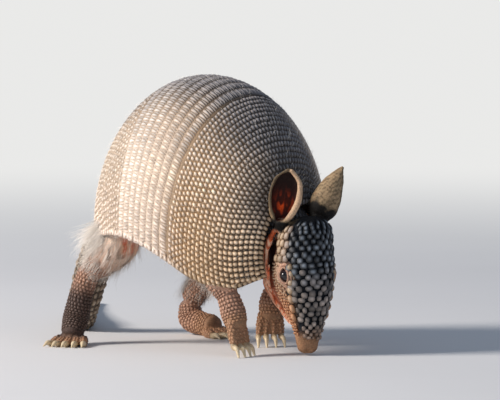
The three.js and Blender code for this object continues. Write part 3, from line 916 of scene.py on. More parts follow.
def band_scutes():
    """Long wedges, wide at the rear of the band, with narrow ones pointing the other way between."""
    coat = Coat()
    for number in range(BANDS):
        middle_of_band = SHOULDER + BAND * number + BAND * 0.53
        for offset, room_share, taper, height, shade in BAND_WEDGES:
            v, room = row_of_scutes(middle_of_band, BAND_SPACING, 0.12, offset)
            u = np.full(len(v), middle_of_band)
            tones = tinted(shell_tone(u, v, 5) * shade, 0.09, 40 + number)
            domes(coat, band_surface, u, v, BAND * 0.44, room * room_share, height, tones,
                  hide_tone(u, v) * 0.85, shell_map, taper=taper, square=0.75,
                  side_shade=BAND_SIDE_SHADE)
    coat.piece("scutes_bands", LOOKS["scute"], "band")


HEM_SPACING = 3.7
OPENING_SPACING = 3.4
OPENINGS = [(0.006, 0.008), (0.992, 0.009)]      # where the end rows lie, and half their width


def hem_scutes():
    """One row of plain scutes along each lower edge and around the shell's two openings."""
    coat = Coat()
    along = np.linspace(0.012, 0.988, 2000)
    for side in (-1, 1):
        length = running_total(line_steps(shell_point(along, side * 0.99)))
        number = int(length[-1] / HEM_SPACING)
        u = np.interp((np.arange(number) + 0.5) / number * length[-1], length, along)
        half = np.gradient(u) * 0.47
        v = np.full(number, side * 0.987)
        tones = tinted(blend(TONES["bead"], TONES["hem"], step(0.2, 0.4, u)), 0.06, 60 + side)
        domes(coat, shield_surface, u, v, half, 0.014, 1.0, tones, hide_tone(u, v) * 0.8, shell_map)
    for end, half in OPENINGS:
        v, room = row_of_scutes(end, OPENING_SPACING, 0.0, 0.5)
        u = np.full(len(v), end)
        tones = tinted(blend(TONES["back"], TONES["bead"], step(0, 0.9, np.abs(v))), 0.08, 63)
        domes(coat, shield_surface, u, v, half, room * 0.86, 0.8, tones, hide_tone(u, v) * 0.7,
              shell_map)
    coat.piece("scutes_hem", LOOKS["scute"], "shield")


# ---------------------------------------------------------------- head

def head_map(z, angle):
    """The head's own unwrap: the way round it and the way up it."""
    z, angle = np.broadcast_arrays(z, angle)
    return np.stack([0.5 + angle / (2.1 * math.pi), z / 102], axis=-1)


def head_surface(depth):
    """The head's side for scales, at a depth of its own above the solid."""
    return lambda z, angle, lift: head_point(z, angle, lift + depth)


HEAD_SIDE_SHADES = (0.09, 0.5)                   # painted shade on the scales' sides, at the top and lower down
FOREHEAD_SPACING = ([13, 30, 55, 80, 95], [3.4, 5.0, 6.0, 5.4, 4.0])      # heights, spacings
FOREHEAD_EDGE = ([13, 28, 45, 80, 95], [40, 52, 60, 62, 52])              # heights, degrees


def head_scales():
    """Rounded scales over the forehead and snout, grey above and browner below, set in dark skin."""
    rng = seeded(70)
    coat = Coat()
    z, row = 13.0, 0
    while z < 96.5:
        spacing = np.interp(z, *FOREHEAD_SPACING)
        edge = np.radians(np.interp(z, *FOREHEAD_EDGE))
        pitch = spacing / head_half(z)
        half_height = min(spacing * 0.48, (98.2 - z) * 0.5)
        number = max(int(2 * edge / pitch), 3)
        angle = (np.arange(number) - (number - 1) / 2 + 0.25 * (-1) ** row) * 2 * edge / number
        angle += rng.normal(scale=0.08, size=number) * pitch
        height = z + rng.normal(scale=0.09, size=number) * spacing - 2.0 * (1 - np.cos(angle * 1.2))
        size = rng.uniform(0.78, 1.06, size=number)
        stretch = rng.uniform(0.84, 1.16, size=number) * np.interp(z, [70, 90], [1.0, 1.2])
        low_down = step(66, 40, height + rng.normal(scale=4, size=number))
        tones = blend(TONES["head_scale"], TONES["brow_scale"], low_down)
        tones = tones * rng.uniform(0.35, 1.45, size=(number, 1))
        tones = blend(tones, TONES["cheek_scale"], 0.4 * step(0.8, 1.1, np.abs(angle)))
        tones = tinted(blend(tones, TONES["snout"] * 0.8, 0.5 * step(26, 12, height)), 0.1, 71 + row)
        domes(coat, head_surface(1.0), height, angle, half_height * size * stretch,
              pitch * 0.48 * size / stretch, 0.75, tones, TONES["slate"], head_map, sides=12,
              square=0.8, side_shade=lerp(*HEAD_SIDE_SHADES, low_down)[:, None], highlight_above=0.7)
        z += spacing * 0.7
        row += 1
    coat.piece("scales_forehead", LOOKS["scale"], "head_scale", replaces=["head_shield"])


def nape_map(share, angle):
    """The nape's own unwrap: along the neck and round it."""
    return np.stack([0.1 + 0.8 * share, angle / (2.1 * math.pi)], axis=-1)


def nape_scales():
    """Small scales over the back of the neck, between the shell and the head, dark partly in their own
    colour and partly as painted shade.
    """
    rng = seeded(80)
    coat = Coat()
    route = Route(NECK["route"], NECK["radii"])
    for row, share in enumerate(np.linspace(0.3, 0.98, 9)):
        angle = math.pi + np.radians(np.arange(-84, 85, 10.5) + 5.2 * (row % 2))
        places = share + rng.normal(scale=0.006, size=len(angle))
        covered, _ = under_shell(route.surface(places, angle))
        places, angle = places[covered < 0.2], angle[covered < 0.2]
        tones = tinted(np.tile(TONES["nape"], (len(angle), 1)), 0.15, 81 + row)
        domes(coat, route.surface, places, angle, 0.05, 0.085, 0.9, tones, TONES["slate"], nape_map)
    coat.piece("scales_nape", LOOKS["scale"], "head_scale")


CHEEK_BEADS = [                # height, degrees from the forehead, half height, half width
    (63.0, 55, 2.5, 2.4), (58.0, 53, 2.8, 2.6), (52.4, 55, 3.0, 2.8), (46.6, 58, 3.2, 3.0),
    (40.2, 62, 3.4, 3.0), (33.6, 65, 3.3, 2.7), (27.4, 70, 3.0, 2.4),
]
CHEEK_PLATE_COLUMNS = [66, 80, 94, 107]            # degrees from the forehead
BARE_OVAL = (9.5, 7.4)         # around each eye, along its slit and across it


def cheek_beads(coat, side):
    """One line of large round scales, from beside the eye to the snout."""
    z, angle, half_z, half_width = (np.array(values, float) for values in zip(*CHEEK_BEADS))
    tones = tinted(blend(TONES["cheek_scale"], TONES["snout"], step(50, 28, z)), 0.07, 91)
    domes(coat, head_surface(0.4), z, side * np.radians(angle), half_z, half_width / head_half(z), 1.9,
          tones, TONES["slate"] * 1.3, head_map, sides=14, square=0.95)


def cheek_plates(coat, side, rng):
    """Flat square plates between the eye and the ear."""
    rows = np.arange(68.8, 92, 5.2)
    z, angle = grid_places(rows, np.radians(CHEEK_PLATE_COLUMNS))
    angle = angle + np.radians(6) * np.repeat(np.arange(len(rows)) % 2, len(CHEEK_PLATE_COLUMNS))
    z = z + rng.normal(scale=0.45, size=len(z))
    beside_ear = (angle < np.radians(100)) | (z > 80)
    z, angle = z[beside_ear], angle[beside_ear]
    half_width = 0.127 * rng.uniform(0.88, 1.1, size=len(z))
    tones = blend(TONES["brow_scale"], TONES["cheek_scale"] * 0.95, step(1.1, 1.5, angle))
    domes(coat, head_surface(0.4), z, side * angle, 2.8, half_width, 0.75, tinted(tones, 0.12, 92),
          TONES["neck"], head_map, square=0.62)


def cheek_pebbles(coat, side, rng):
    """Fine close scales between the beads and the throat, none of them on the lids."""
    z, angle = grid_places(np.arange(16, 66, 2.1), np.radians(np.arange(74, 119, 6.6)))
    z = z + rng.normal(scale=0.3, size=len(z))
    angle = angle + rng.normal(scale=0.02, size=len(z))
    along, up, _ = eye_places(head_point(z, side * angle), side)
    free = around_eye(along, up, BARE_OVAL) > 1
    free &= angle < np.radians(118 - 0.5 * np.abs(z - 47))
    z, angle = z[free], angle[free]
    tones = blend(TONES["cheek_scale"], TONES["snout"], step(56, 34, z)) * 0.92
    domes(coat, head_surface(-0.2), z, side * angle, 0.95, 1.0 / head_half(z), 0.75,
          tinted(tones, 0.16, 94), TONES["throat"] * 0.45, head_map, sides=8)


def cheek_scales():
    """The scales of both cheeks."""
    rng = seeded(90)
    coat = Coat()
    for side in (-1, 1):
        cheek_beads(coat, side)
        cheek_plates(coat, side, rng)
        cheek_pebbles(coat, side, rng)
    coat.piece("scales_cheek", LOOKS["scale"], "head_scale")


def eyes():
    """A dark ball with a bulging cornea, turned outwards and a little forwards."""
    polar = np.linspace(0.02, math.pi - 0.02, 36)[:, None]
    turn = full_turn(48)[None, :]
    local = np.stack([np.cos(turn) * np.sin(polar), np.sin(turn) * np.sin(polar),
                      np.cos(polar + 0 * turn)])[..., None]
    radius = (EYE["radius"] * (1 + 0.07 * step(0.75, 0.2, polar)))[..., None]
    for word, side in (("right", -1), ("left", 1)):
        centre = eye_centre(side)
        along, upward, gaze = eye_axes(side)
        ball = centre + radius * (local[0] * along + local[1] * upward + local[2] * gaze)
        points, faces = tube(ball)
        away = (points - centre) @ gaze / EYE["radius"]
        tones = blend(TONES["iris"], TONES["pupil"], step(0.78, 0.9, away))
        tones = blend(tones, TONES["throat"] * 0.25, step(0.5, 0.1, away))
        add_piece(f"eyeball_{word}", points, faces, LOOKS["eye"], tones,
                  replaces=[f"eye_{word}"])


# ---------------------------------------------------------------- skin

VOXEL = 0.00085                # metres between the points of the skin
HIDE_DEPTH = 0.6               # of the skin inside the solids, which leaves room for the scales
LIDS = (9.0, 6.8)              # reach of an eye's lids from its middle, along its slit and across it
SOCKET = (6.3, 4.4)            # the same for the hollow that holds the eye


TRUNK_DEPTH = -3.9             # of the trunk below the shell's outline
TRUNK_SIZE = ([0.15, 0.16, 0.19, 0.225, 0.26, 0.93, 0.943], [0.3, 0.6, 0.84, 0.96, 1, 1, 0.6])


def trunk_solid():
    """The trunk under the shell, its belly sagging a little between the hems."""
    along = np.concatenate([[0.15, 0.155, 0.16, 0.19, 0.225], np.linspace(0.26, 0.93, 50),
                            [0.937, 0.943]])
    under = np.linspace(0, 1, 40)[1:-1][None, :]
    back = shell_point(along[:, None], np.linspace(-1, 1, 90)[None, :], TRUNK_DEPTH)
    hem = shell_point(along, 1.0, TRUNK_DEPTH)[:, None]
    belly = np.stack([hem[..., 0] * np.cos(math.pi * under), hem[..., 1] + 0 * under,
                      hem[..., 2] - 4.0 * np.sin(math.pi * under)], axis=-1)
    rings = np.concatenate([back, belly], axis=1)
    core = np.stack([0 * along, rings[..., 1].mean(axis=1), 0 * along + SHELL["centre"][2]], axis=-1)
    size = np.interp(along, *TRUNK_SIZE)[:, None, None]
    return tube(core[:, None] + (rings - core[:, None]) * size)


def head_solid():
    """The head, down to the tip of its snout."""
    z = np.concatenate([[1.5, 1.8, 2.5], np.linspace(3.5, 96.5, 90), [97.4, 97.8]])
    return tube(head_point(z[:, None], full_turn(72)[None, :], -HIDE_DEPTH))


ROLLED_EDGE = -1               # the turn of the edge of each ear that is rolled into a thick rim
EAR_RIMS = {ROLLED_EDGE: [1.6, 2.3, 2.3, 1.9, 1.3], -ROLLED_EDGE: [0.9, 1.0, 1.0, 0.9, 0.8]}
EAR_LIFTS = (-0.2, -2.1)       # of the outside and the inside of the cup


def ear_solids(word):
    """The thin cup of the ear, with a thick rolled rim down one edge."""
    surface = lambda share, turn, lift: ear_point(word, share, turn, lift)
    solids = [plate(surface, np.linspace(0, 1, 60), np.linspace(-1, 1, 60), *EAR_LIFTS)]
    for edge, radii in EAR_RIMS.items():
        line = ear_point(word, np.linspace(0.02, 0.985, 12), edge * 0.99, -1.2)
        solids.append(bar(Route(line, radii), sides=16, steps=60))
    root, up, _, _ = ear_frame(word)
    inwards = np.array([root[0], 0, 0])
    foot = on_head([root - up * 12 - 0.35 * inwards, root - up * 4 - 0.12 * inwards, root + up * 2])
    foot_radii = (EARS[word]["radii"][0] - 1.2) * np.array([0.7, 0.8, 1.0])
    solids.append(bar(Route(foot, foot_radii), sides=24, steps=20))
    return solids


# Folds of loose skin behind each cheek: places on the head's own axes, outwards, back and up.
FOLDS = [
    ([[20.4, -0.6, 92], [23.2, 6.4, 80], [24.0, 10.2, 68], [21.6, 12.6, 52], [15.6, 10.8, 38],
      [10.8, 3.2, 28]],
     [1.5, 2.1, 2.3, 2.1, 1.6, 0.8]),
    ([[18.6, 4, 91], [21, 11, 79], [21.6, 15.2, 66], [18.8, 17.2, 52], [13.2, 14.8, 38]],
     [1.3, 1.9, 2.1, 1.9, 0.9]),
    ([[23.4, 5.4, 64], [22, 8.6, 52], [17, 9, 40], [12.6, 4.6, 30], [10.2, -0.8, 22]],
     [0.6, 1.2, 1.6, 1.4, 0.7]),
    ([[21.6, 3.2, 84], [23.6, 7, 75], [24.8, 7.8, 64], [22.8, 8.6, 53], [18.4, 8.8, 43]],
     [0.6, 0.9, 1.2, 1.6, 1.0]),
]
THROAT = ([[9, 9, 84], [10.4, 9.6, 68], [9.4, 9.4, 52], [6, 7.6, 38], [4, 4.5, 28]],
          [9.5, 9.8, 9, 7.2, 5])


def beside_head(places, side):
    """Places given for the left of the head, on one of its sides."""
    return on_head(np.array(places, float) * [side, 1, 1])


def throat_folds():
    """The throat, and the loose folds of skin that hang behind the cheeks."""
    return [bar(Route(beside_head(places, side), radii), sides=24, steps=60)
            for side in (-1, 1) for places, radii in [THROAT, *FOLDS]]


def toe_routes(name):
    """The route of each of a limb's toes."""
    radius = LIMBS[name]["toes"]["radius"]
    for root, tip, _, _ in toe_lines(LIMBS[name]):
        yield Route([root, lerp(root, tip, 0.5), tip], [radius, radius * 1.05, radius * 0.78])


def skin_solids():
    solids = [trunk_solid(), head_solid(), bar(Route(NECK["route"], NECK["radii"]), 48, 40, -HIDE_DEPTH)]
    for word in EARS:
        solids += ear_solids(word)
    solids += throat_folds()
    for name in LIMBS:
        solids += [bar(ROUTES[name][part], 40, 50, -HIDE_DEPTH) for part in ("leg", "foot")]
        solids += [bar(route, 20, 20, -0.3) for route in toe_routes(name)]
    solids.append(bar(TAIL_ROUTE, 40, 160, -HIDE_DEPTH))
    return solids


THIGH = 0.8                    # how far down each hind leg its skin is soft and haired, without scales


REACH = 25.0                   # beyond which a route is too far from a point to matter


def near_route(points, route, samples=50):
    """For each point, the share along the route nearest to it, and how far it is from the bar's side."""
    places = np.linspace(0, 1, samples)
    line, radius = route.at(route.line, places), route.radius(places)
    share, gap = np.zeros(len(points)), np.full(len(points), 99.0)
    within = (points > line.min(axis=0) - REACH) & (points < line.max(axis=0) + REACH)
    close = np.flatnonzero(within.all(axis=1))
    nearby = points[close]
    for i in range(samples - 1):
        piece = line[i + 1] - line[i]
        t = np.clip((nearby - line[i]) @ piece / (piece @ piece), 0, 1)
        away = np.linalg.norm(nearby - line[i] - t[:, None] * piece, axis=1)
        away = away - lerp(radius[i], radius[i + 1], t)
        better = away < gap[close]
        gap[close[better]] = away[better]
        share[close[better]] = (i + t[better]) / (samples - 1)
    return share, gap


def mask(gap):
    """1 on a bar's side and inside it, fading out just beyond."""
    return step(2.5, 0.2, gap)


def ear_places(points, word):
    """Where points lie on an ear: share of its length, turn round it, and distance outside the cup."""
    root, up, opening, across = ear_frame(word)
    local = in_head(points) - root
    share = local @ up / EAR_LENGTH
    depth = EARS[word]["depth"]
    sideways, forward = -(local @ across), -(local @ opening)
    radius = smooth_value(EARS[word]["radii"], np.clip(share, 0, 1))
    angle = np.arctan2(sideways, forward / depth)
    turn = np.degrees(angle) / smooth_value(EAR_SPANS, np.clip(share, 0, 1))
    cup = radius * np.hypot(np.sin(angle), depth * np.cos(angle))
    return share, turn, np.hypot(sideways, forward) - cup


def eye_places(points, side):
    """Where points lie about an eye: along its slit, up from it, and out along its gaze."""
    away = points - eye_centre(side)
    return (away @ axis for axis in eye_axes(side))


def around_eye(along, up, reach):
    """How far places lie from an eye's middle: 1 on an oval of the given reach, along and across."""
    return np.hypot(along / reach[0], up / reach[1])


def eye_axes(side):
    """The way along an eye's slit, down the face and a little forward; across it; and its gaze."""
    gaze = unit_vectors(turned(np.array([side * 0.9, -0.42, 0.1]), HEAD_TURN))
    along = turned(np.array([0, -0.28, -1.0]), HEAD_TURN)
    along = unit_vectors(along - gaze * (along @ gaze))
    return along, np.cross(along, gaze), gaze


def head_places(points):
    """Where points lie on the head's axes, how far from its middle, and degrees from the forehead."""
    local = in_head(points)
    radius = np.hypot(local[:, 0], local[:, 1])
    return local, radius, np.degrees(np.arctan2(np.abs(local[:, 0]), -local[:, 1]))


def head_tones(points):
    """Dark between the scales, peach on the snout and cheeks, red in the folds of the throat."""
    local, _, angle = head_places(points)
    z = local[:, 2]
    patch = wobble(points, 14, 11)
    tones = np.tile(TONES["slate"], (len(points), 1))
    cheek = step(60, 74, angle + 4 * patch)
    tones = blend(tones, TONES["cheek"] * (0.85 + 0.15 * patch[:, None]), cheek)
    tones = blend(tones, TONES["snout"], step(42, 26, z + 4 * patch) * step(38, 60, angle))
    tones = blend(tones, TONES["snout"] * 0.7, step(20, 10, z) * 0.85)
    throat = step(90, 102, angle) * step(30, 44, z)
    tones = blend(tones, TONES["throat"] * 0.6, 0.7 * throat)
    # Painted shade: high on the head's side, the gap between the cheek and the folds takes the
    # crease-shade tone.
    tones = blend(tones, TONES["throat_crease_shade"], throat * step(52, 64, z))
    return blend(tones, TONES["dark"] * 1.5, step(90, 97, z) * step(60, 20, angle) * 0.6)


def ear_tones(points, word):
    """Brown and speckled outside, dark at the root, a dark pit with a painted glow where light shines
    through, and painted shade along the thin edge.
    """
    share, turn, outside = ear_places(points, word)
    grain = wobble(points, 6, 15)
    speck = wobble(points, 2.0, 17)
    furred = TONES["ear_back"] * (1 + 0.12 * grain - 0.5 * step(0.05, 0.6, speck))[:, None]
    dark_base = EARS[word]["dark"] - 0.04 * grain - 0.03 * speck
    outer = blend(TONES["dark"] * 0.4, furred, step(-0.07, 0.07, share - dark_base))
    pit = blend(TONES["ear_inside"], TONES["ear_pit"], step(0.35, 0.8, share))
    veins = step(-0.3, 0.3, wobble(np.stack([turn * 18, share * 16, 0 * share], axis=-1), 3.3, 18))
    # Painted light: a red glow in the pit, for light shining through the ear.
    glow = hump(share, 0.31, 0.17) * hump(turn, 0.0, 0.36) * (0.06 + 0.94 * veins)
    pit = blend(pit, TONES["ear_glow"], glow)
    tones = blend(outer, pit, step(-0.7, -1.5, outside) * step(0.0, 0.06, share))
    rim = (step(0.84, 0.95, np.abs(turn)) * step(0.06, 0.2, share))[:, None]
    rolled = np.sign(turn) == ROLLED_EDGE
    # Painted shade: the thin, unrolled edge of each ear is painted dark, for the shade along the cup's
    # opening; the rolled rim keeps its pale tone.
    rim_tone = np.where(rolled[:, None], TONES["ear_rim"], TONES["ear_back"] * 0.35)
    return rim_tone * rim + tones * (1 - rim)


def leg_tone(name, part, share):
    """The colour of a leg's, a foot's or a toe's scales. One hind foot is painted much darker, as
    painted shade.
    """
    share = np.asarray(share, float)
    if part == "leg":
        return blend(TONES["thigh"], TONES["leg"], step(0.35, 0.85, share))
    if part == "toe":
        pale = step(0.2, 0.9, share) if name == "hind_right" else 1 + 0 * share
        return blend(TONES["foot_dark"], TONES["toe"], pale)
    tone = blend(TONES["leg"], TONES["toe"], step(0.3, 0.9, share))
    return blend(tone, TONES["foot_dark"], step(0.1, 0.4, share)) if name == "hind_right" else tone


def with_folds(tones, points):
    """The tones with the folds behind the cheeks painted in, streaked along their length: pale streaks
    partly a painted highlight, dark ones painted shade in the creases.
    """
    local, _, angle = head_places(points)
    streak = np.sin(angle * 1.25 + 1.6 * wobble(points, 16, 33))
    reach = 2.0 * step(76, 84, local[:, 2])
    for side in (-1, 1):
        for places, radii in FOLDS:
            share, gap = near_route(points, Route(beside_head(places, side), radii))
            fold = blend(TONES["throat"], TONES["throat_pale"], step(-0.7, 0.6, streak + 0.5 * share))
            fold = blend(fold, TONES["throat_crease_shade"], 0.6 * step(-0.8, -0.99, streak))
            tones = lerp(tones, fold, step(1.0 + reach, reach - 0.2, gap)[:, None])
    return tones


def thigh_tone(tone, share, points, patch):
    """A hind leg's tone: specked where it is haired, raw and bare at the groin."""
    specks = 0.55 * step(0.25, 0.8, wobble(points, 4.5, 22))
    tone = tone * (1 - lerp(specks, 0.28, step(THIGH - 0.1, THIGH, share)))[:, None]
    inwards = -np.abs(points[:, 0]) - points[:, 1]
    bare = step(-94, -84, inwards + 3 * patch) * step(62, 70, points[:, 2])
    raw = blend(TONES["throat"] * 0.75, TONES["throat_pale"], step(-0.8, 0.6, wobble(points, 5, 23)))
    return lerp(tone, raw, 0.75 * bare[:, None])


def with_limbs(tones, points, patch):
    """The tones with the legs, feet and toes painted in, darker than the scales that cover them."""
    for name in LIMBS:
        for part in ("leg", "foot"):
            share, gap = near_route(points, ROUTES[name][part])
            tone = leg_tone(name, part, share)
            if part == "leg" and name.startswith("hind"):
                tone = thigh_tone(tone, share, points, patch)
            else:
                tone = tone * 0.72
            tones = lerp(tones, tone, mask(gap)[:, None])
        for route in toe_routes(name):
            share, gap = near_route(points, route, samples=12)
            tones = lerp(tones, leg_tone(name, "toe", share) * 0.85, mask(gap)[:, None])
    return tones


def with_ears(tones, points):
    """The tones with the ears painted in, and the red skin below each ear."""
    local = in_head(points)
    for word, pose in EARS.items():
        share, _, outside = ear_places(points, word)
        close = step(6, 3, np.abs(outside + 1))
        own_side = step(-16, -12, (local[:, 0] - pose["root"][0]) * pose["side"])
        on_ear = step(-0.2, -0.1, share) * close * own_side
        tones = lerp(tones, ear_tones(points, word), on_ear[:, None])
        beside = step(14, 17, np.abs(local[:, 0])) * step(-1.5, 1.5, local[:, 1])
        foot = step(-0.36, -0.28, share) * step(-0.1, -0.2, share) * beside * close
        tones = blend(tones, TONES["throat"] * 0.6, foot)
    return tones


def with_eyes(tones, points):
    """The tones with the lids painted in, and painted shade in the hollow between them."""
    for side in (-1, 1):
        along, up, out = eye_places(points, side)
        ring = around_eye(along, up, LIDS)
        near = step(1.3, 0.85, ring) * step(-5, -2, out)
        tones = blend(tones, TONES["lid"], near * 0.9)
        tones = blend(tones, TONES["dark"], near * step(0.62, 0.45, ring))
    return tones


def skin_tones(points):
    """The skin's colours, from where each point lies on the animal."""
    patch = wobble(points, 30, 21)
    tones = np.tile(TONES["belly"], (len(points), 1)) * (0.92 + 0.08 * patch[:, None])
    _, gap = near_route(points, Route(NECK["route"], NECK["radii"]))
    # Painted shade: the neck takes a dark tone, for the deep shade under the shell's front rim.
    tones = blend(tones, TONES["neck"], mask(gap))
    local, radius, _ = head_places(points)
    in_front = step(30, 22, radius) * step(104, 98, local[:, 2])
    tones = lerp(tones, head_tones(points), in_front[:, None])
    tones = with_limbs(with_folds(tones, points), points, patch)
    _, gap = near_route(points, TAIL_ROUTE)
    tones = blend(tones, TONES["tail"], mask(gap))
    return with_eyes(with_ears(tones, points), points)


def relief(points):
    """How far the skin rises or sinks along its own normal."""
    rise = 0.12 * wobble(points, 7, 31) + 0.08 * wobble(points, 3.5, 32)
    local, radius, angle = head_places(points)
    z = local[:, 2]
    throat = step(95, 110, angle) * step(28, 45, z) * step(100, 92, z) * step(34, 26, radius)
    rise += throat * 0.5 * np.sin(angle / 3.1 + 1.2 * wobble(points, 16, 33))
    mouth = hump(z, 12.5, 1.0) * step(70, 100, angle) * step(20, 14, radius)
    rise -= 0.8 * mouth * step(30, 20, z)
    for side in (-1, 1):
        along, up, out = eye_places(points, side)
        rise -= 4.6 * step(1.12, 0.75, around_eye(along, up, SOCKET)) * step(-6, -3, out)
        ring = around_eye(along, up, LIDS)
        rise += 0.5 * np.sin(ring * 17) * step(1.8, 1.2, ring) * step(0.8, 1.0, ring) * step(-5, -2, out)
        nostril = np.linalg.norm(local - [side * 3.0, -11.5, 4.2], axis=1)
        rise -= 1.6 * step(1.9, 0.7, nostril)
    return rise


LID_RIMS = [                   # half length, half height, how far out, thickness and tone of each rim
    (5.6, 3.5, 3.0, 0.85, "lid"),
    (7.0, 4.9, 1.9, 1.0, "lid"),
    (8.6, 6.3, 0.5, 0.9, "cheek"),
]


def lid_rims():
    """Smooth rims around each eye's slit, with slack folds above and below it."""
    solids, tones = [], []
    turn, around = full_turn(96)[:, None], full_turn(14)[:, None]
    faces = grid_faces(len(turn), len(around), closed=True, looped=True)
    for side in (-1, 1):
        along, upward, gaze = eye_axes(side)
        for half_long, half_high, reach, radius, tone in LID_RIMS:
            x = half_long * np.cos(turn)
            y = half_high * np.sin(turn) * (1 - 0.25 * np.cos(turn) ** 2)
            line = eye_centre(side) + x * along + y * upward + (reach - 0.045 * x ** 2) * gaze
            away = (np.cos(turn) * along + np.sin(turn) * upward)[:, None]
            ring = line[:, None] + radius * (np.cos(around) * away + np.sin(around) * gaze)
            solids.append((ring.reshape(-1, 3), [faces]))
            # Painted shade: each rim is darker on its side towards the eye.
            shade = np.broadcast_to(0.75 + 0.25 * np.cos(around), ring.shape[:2] + (1,))
            tones.append((TONES[tone] * shade).reshape(-1, 3))
    return solids, np.concatenate(tones)


def remeshed(points, faces):
    """Overlapping solids as one even mesh: its points, their normals and its quads."""
    rough, _ = new_mesh("skin_rough", above_floor(points), faces)
    holder = new_object("skin_rough", rough)
    remesh = holder.modifiers.new("whole", "REMESH")
    remesh.mode = "VOXEL"
    remesh.voxel_size = VOXEL * 1
    smooth = holder.modifiers.new("soft", "SMOOTH")
    smooth.factor = 0.5
    smooth.iterations = 4
    whole = bpy.data.meshes.new_from_object(holder.evaluated_get(bpy.context.evaluated_depsgraph_get()))
    bpy.data.objects.remove(holder)
    number = len(whole.vertices)
    spots, normals = np.empty(number * 3), np.empty(number * 3)
    whole.vertices.foreach_get("co", spots)
    whole.vertices.foreach_get("normal", normals)
    quads = np.empty(len(whole.polygons) * 4, np.int32)
    whole.polygons.foreach_get("vertices", quads)
    bpy.data.meshes.remove(whole)
    return spots.reshape(-1, 3), normals.reshape(-1, 3), quads.reshape(-1, 4)


def add_skin():
    """One skin over trunk, neck, head, ears, legs, feet and tail."""
    spots, normals, quads = remeshed(*joined(skin_solids()))
    drawn = (spots - SHIFT) / UNIT
    drawn = kept_inside(drawn + normals * relief(drawn)[:, None])
    rims, rim_tones = lid_rims()
    points, faces = joined([(drawn, [quads])] + rims)
    flesh = ["trunk", "neck", "head", "ear_right", "ear_left"]
    for name in LIMBS:
        pair, side = name.split("_")
        flesh += [f"{pair}_leg_{side}", f"{pair}_foot_{side}"]
    flesh += [f"tail_{i}" for i in range(1, 6)]
    tones = np.concatenate([skin_tones(drawn), rim_tones])
    add_piece("skin", points, faces, LOOKS["skin"], tones, replaces=flesh)


# ---------------------------------------------------------------- claws

CLAW_SIDES, CLAW_STEPS = 18, 30


def claws():
    """Tapered horn claws that bend at the toe's tip, palest at their points."""
    share = np.append(np.repeat(bar_shares(CLAW_STEPS), CLAW_SIDES), [0, 1])
    tones = blend(TONES["horn"] * 0.75, TONES["horn_tip"], step(0.1, 0.9, share))
    for name, limb in LIMBS.items():
        pair, side = name.split("_")
        radius = limb["toes"]["radius"]
        for i, (root, tip, bend, end) in enumerate(toe_lines(limb)):
            ahead = unit_vectors(tip - root)
            line = [tip - ahead * 1.5, tip + ahead * radius * 0.6, bend, end]
            horn = Route(line, [radius * 0.62, radius * 0.66, radius * 0.5, radius * 0.12])
            points, faces = bar(horn, sides=CLAW_SIDES, steps=CLAW_STEPS, roundness=0.3)
            add_piece(f"claw_{name}_{i + 1}", points, faces, LOOKS["claw"], tones,
                      replaces=[f"{pair}_claw_{side}_{i + 1}"])


# ---------------------------------------------------------------- legs and tail

def ring_of_scales(coat, route, share, patch, spacing, half_share, size, height, tone, gap, offset,
                   seed):
    """One ring of scales around a bar. patch is the bar's corner of the map and its reach there."""
    number = max(int(2 * math.pi * route.radius(share) / spacing), 5)
    angle = (np.arange(number) + offset) * 2 * math.pi / number
    rng = seeded(seed)
    angle += rng.normal(scale=0.06, size=number) * 2 * math.pi / number
    places = share + rng.normal(scale=0.08, size=number) * half_share
    shades = tinted(np.tile(tone, (number, 1)), 0.1, seed)
    covered, outside = under_shell(route.surface(places, angle))
    free = (covered < 0.2) | (outside < -5)
    if not free.any():
        return
    surface = lambda u, v, lift: route.surface(u, v, lift - 0.3)
    where = lambda u, v: np.stack([patch[0] + u * patch[2], patch[1] + (v % (2 * math.pi)) * patch[3]],
                                  axis=-1)
    domes(coat, surface, places[free], angle[free], half_share * size, math.pi / number * size, height,
          shades[free], gap, where, square=0.9)


LIMB_SCALES = {                # spacing, distance of the rows, share of their room, height, gap's shade
    "leg": (2.6, 2.21, 0.94, 0.45, 0.5),
    "foot": (2.7, 2.295, 0.94, 0.45, 0.5),
    "toe": (2.6, 2.4, 0.92, 0.5, 0.4),
}
CORNER_WIDTH = 0.24            # of each limb's own strip of the map


def rows_of_scales(coat, name, part, route, low, high, fewest, patch, seed):
    """Rings of scales down a part of a limb, each ring half a scale out of step."""
    spacing, pitch, size, height, gap_shade = LIMB_SCALES[part]
    reach = high - low
    rows = max(int(route.length * reach / pitch), fewest)
    for i in range(rows):
        share = low + reach * (i + 0.5) / rows
        tone = leg_tone(name, part, share)
        ring_of_scales(coat, route, share, patch, spacing, reach / rows * 0.5, size, height, tone,
                       tone * gap_shade, 0.5 * (i % 2), seed + i)


def limb_scales():
    """Small scales over the lower legs, the feet and the toes."""
    for corner, name in enumerate(LIMBS):
        coat = Coat()
        left = 0.02 + CORNER_WIDTH * corner
        start = THIGH if name.startswith("hind") else 0.3
        for band, (part, low, high) in enumerate((("leg", start, 1.0), ("foot", 0.0, 0.96))):
            rows_of_scales(coat, name, part, ROUTES[name][part], low, high, 3,
                           (left, 0.02 + 0.3 * band, 0.2, 0.04), 200 + 40 * corner + 20 * band)
        for number, route in enumerate(toe_routes(name)):
            rows_of_scales(coat, name, "toe", route, 0.0, 1.0, 4,
                           (left, 0.62 + 0.07 * number, 0.2, 0.009), 400 + 60 * corner + 12 * number)
        coat.piece(f"scales_{name}", LOOKS["scute"], "skin")


TAIL_RINGS = 15
RINGED = 0.62                  # share of the tail that has broad rings
TAIL_PATCH = (0.01, 0.01, 0.98, 0.15)


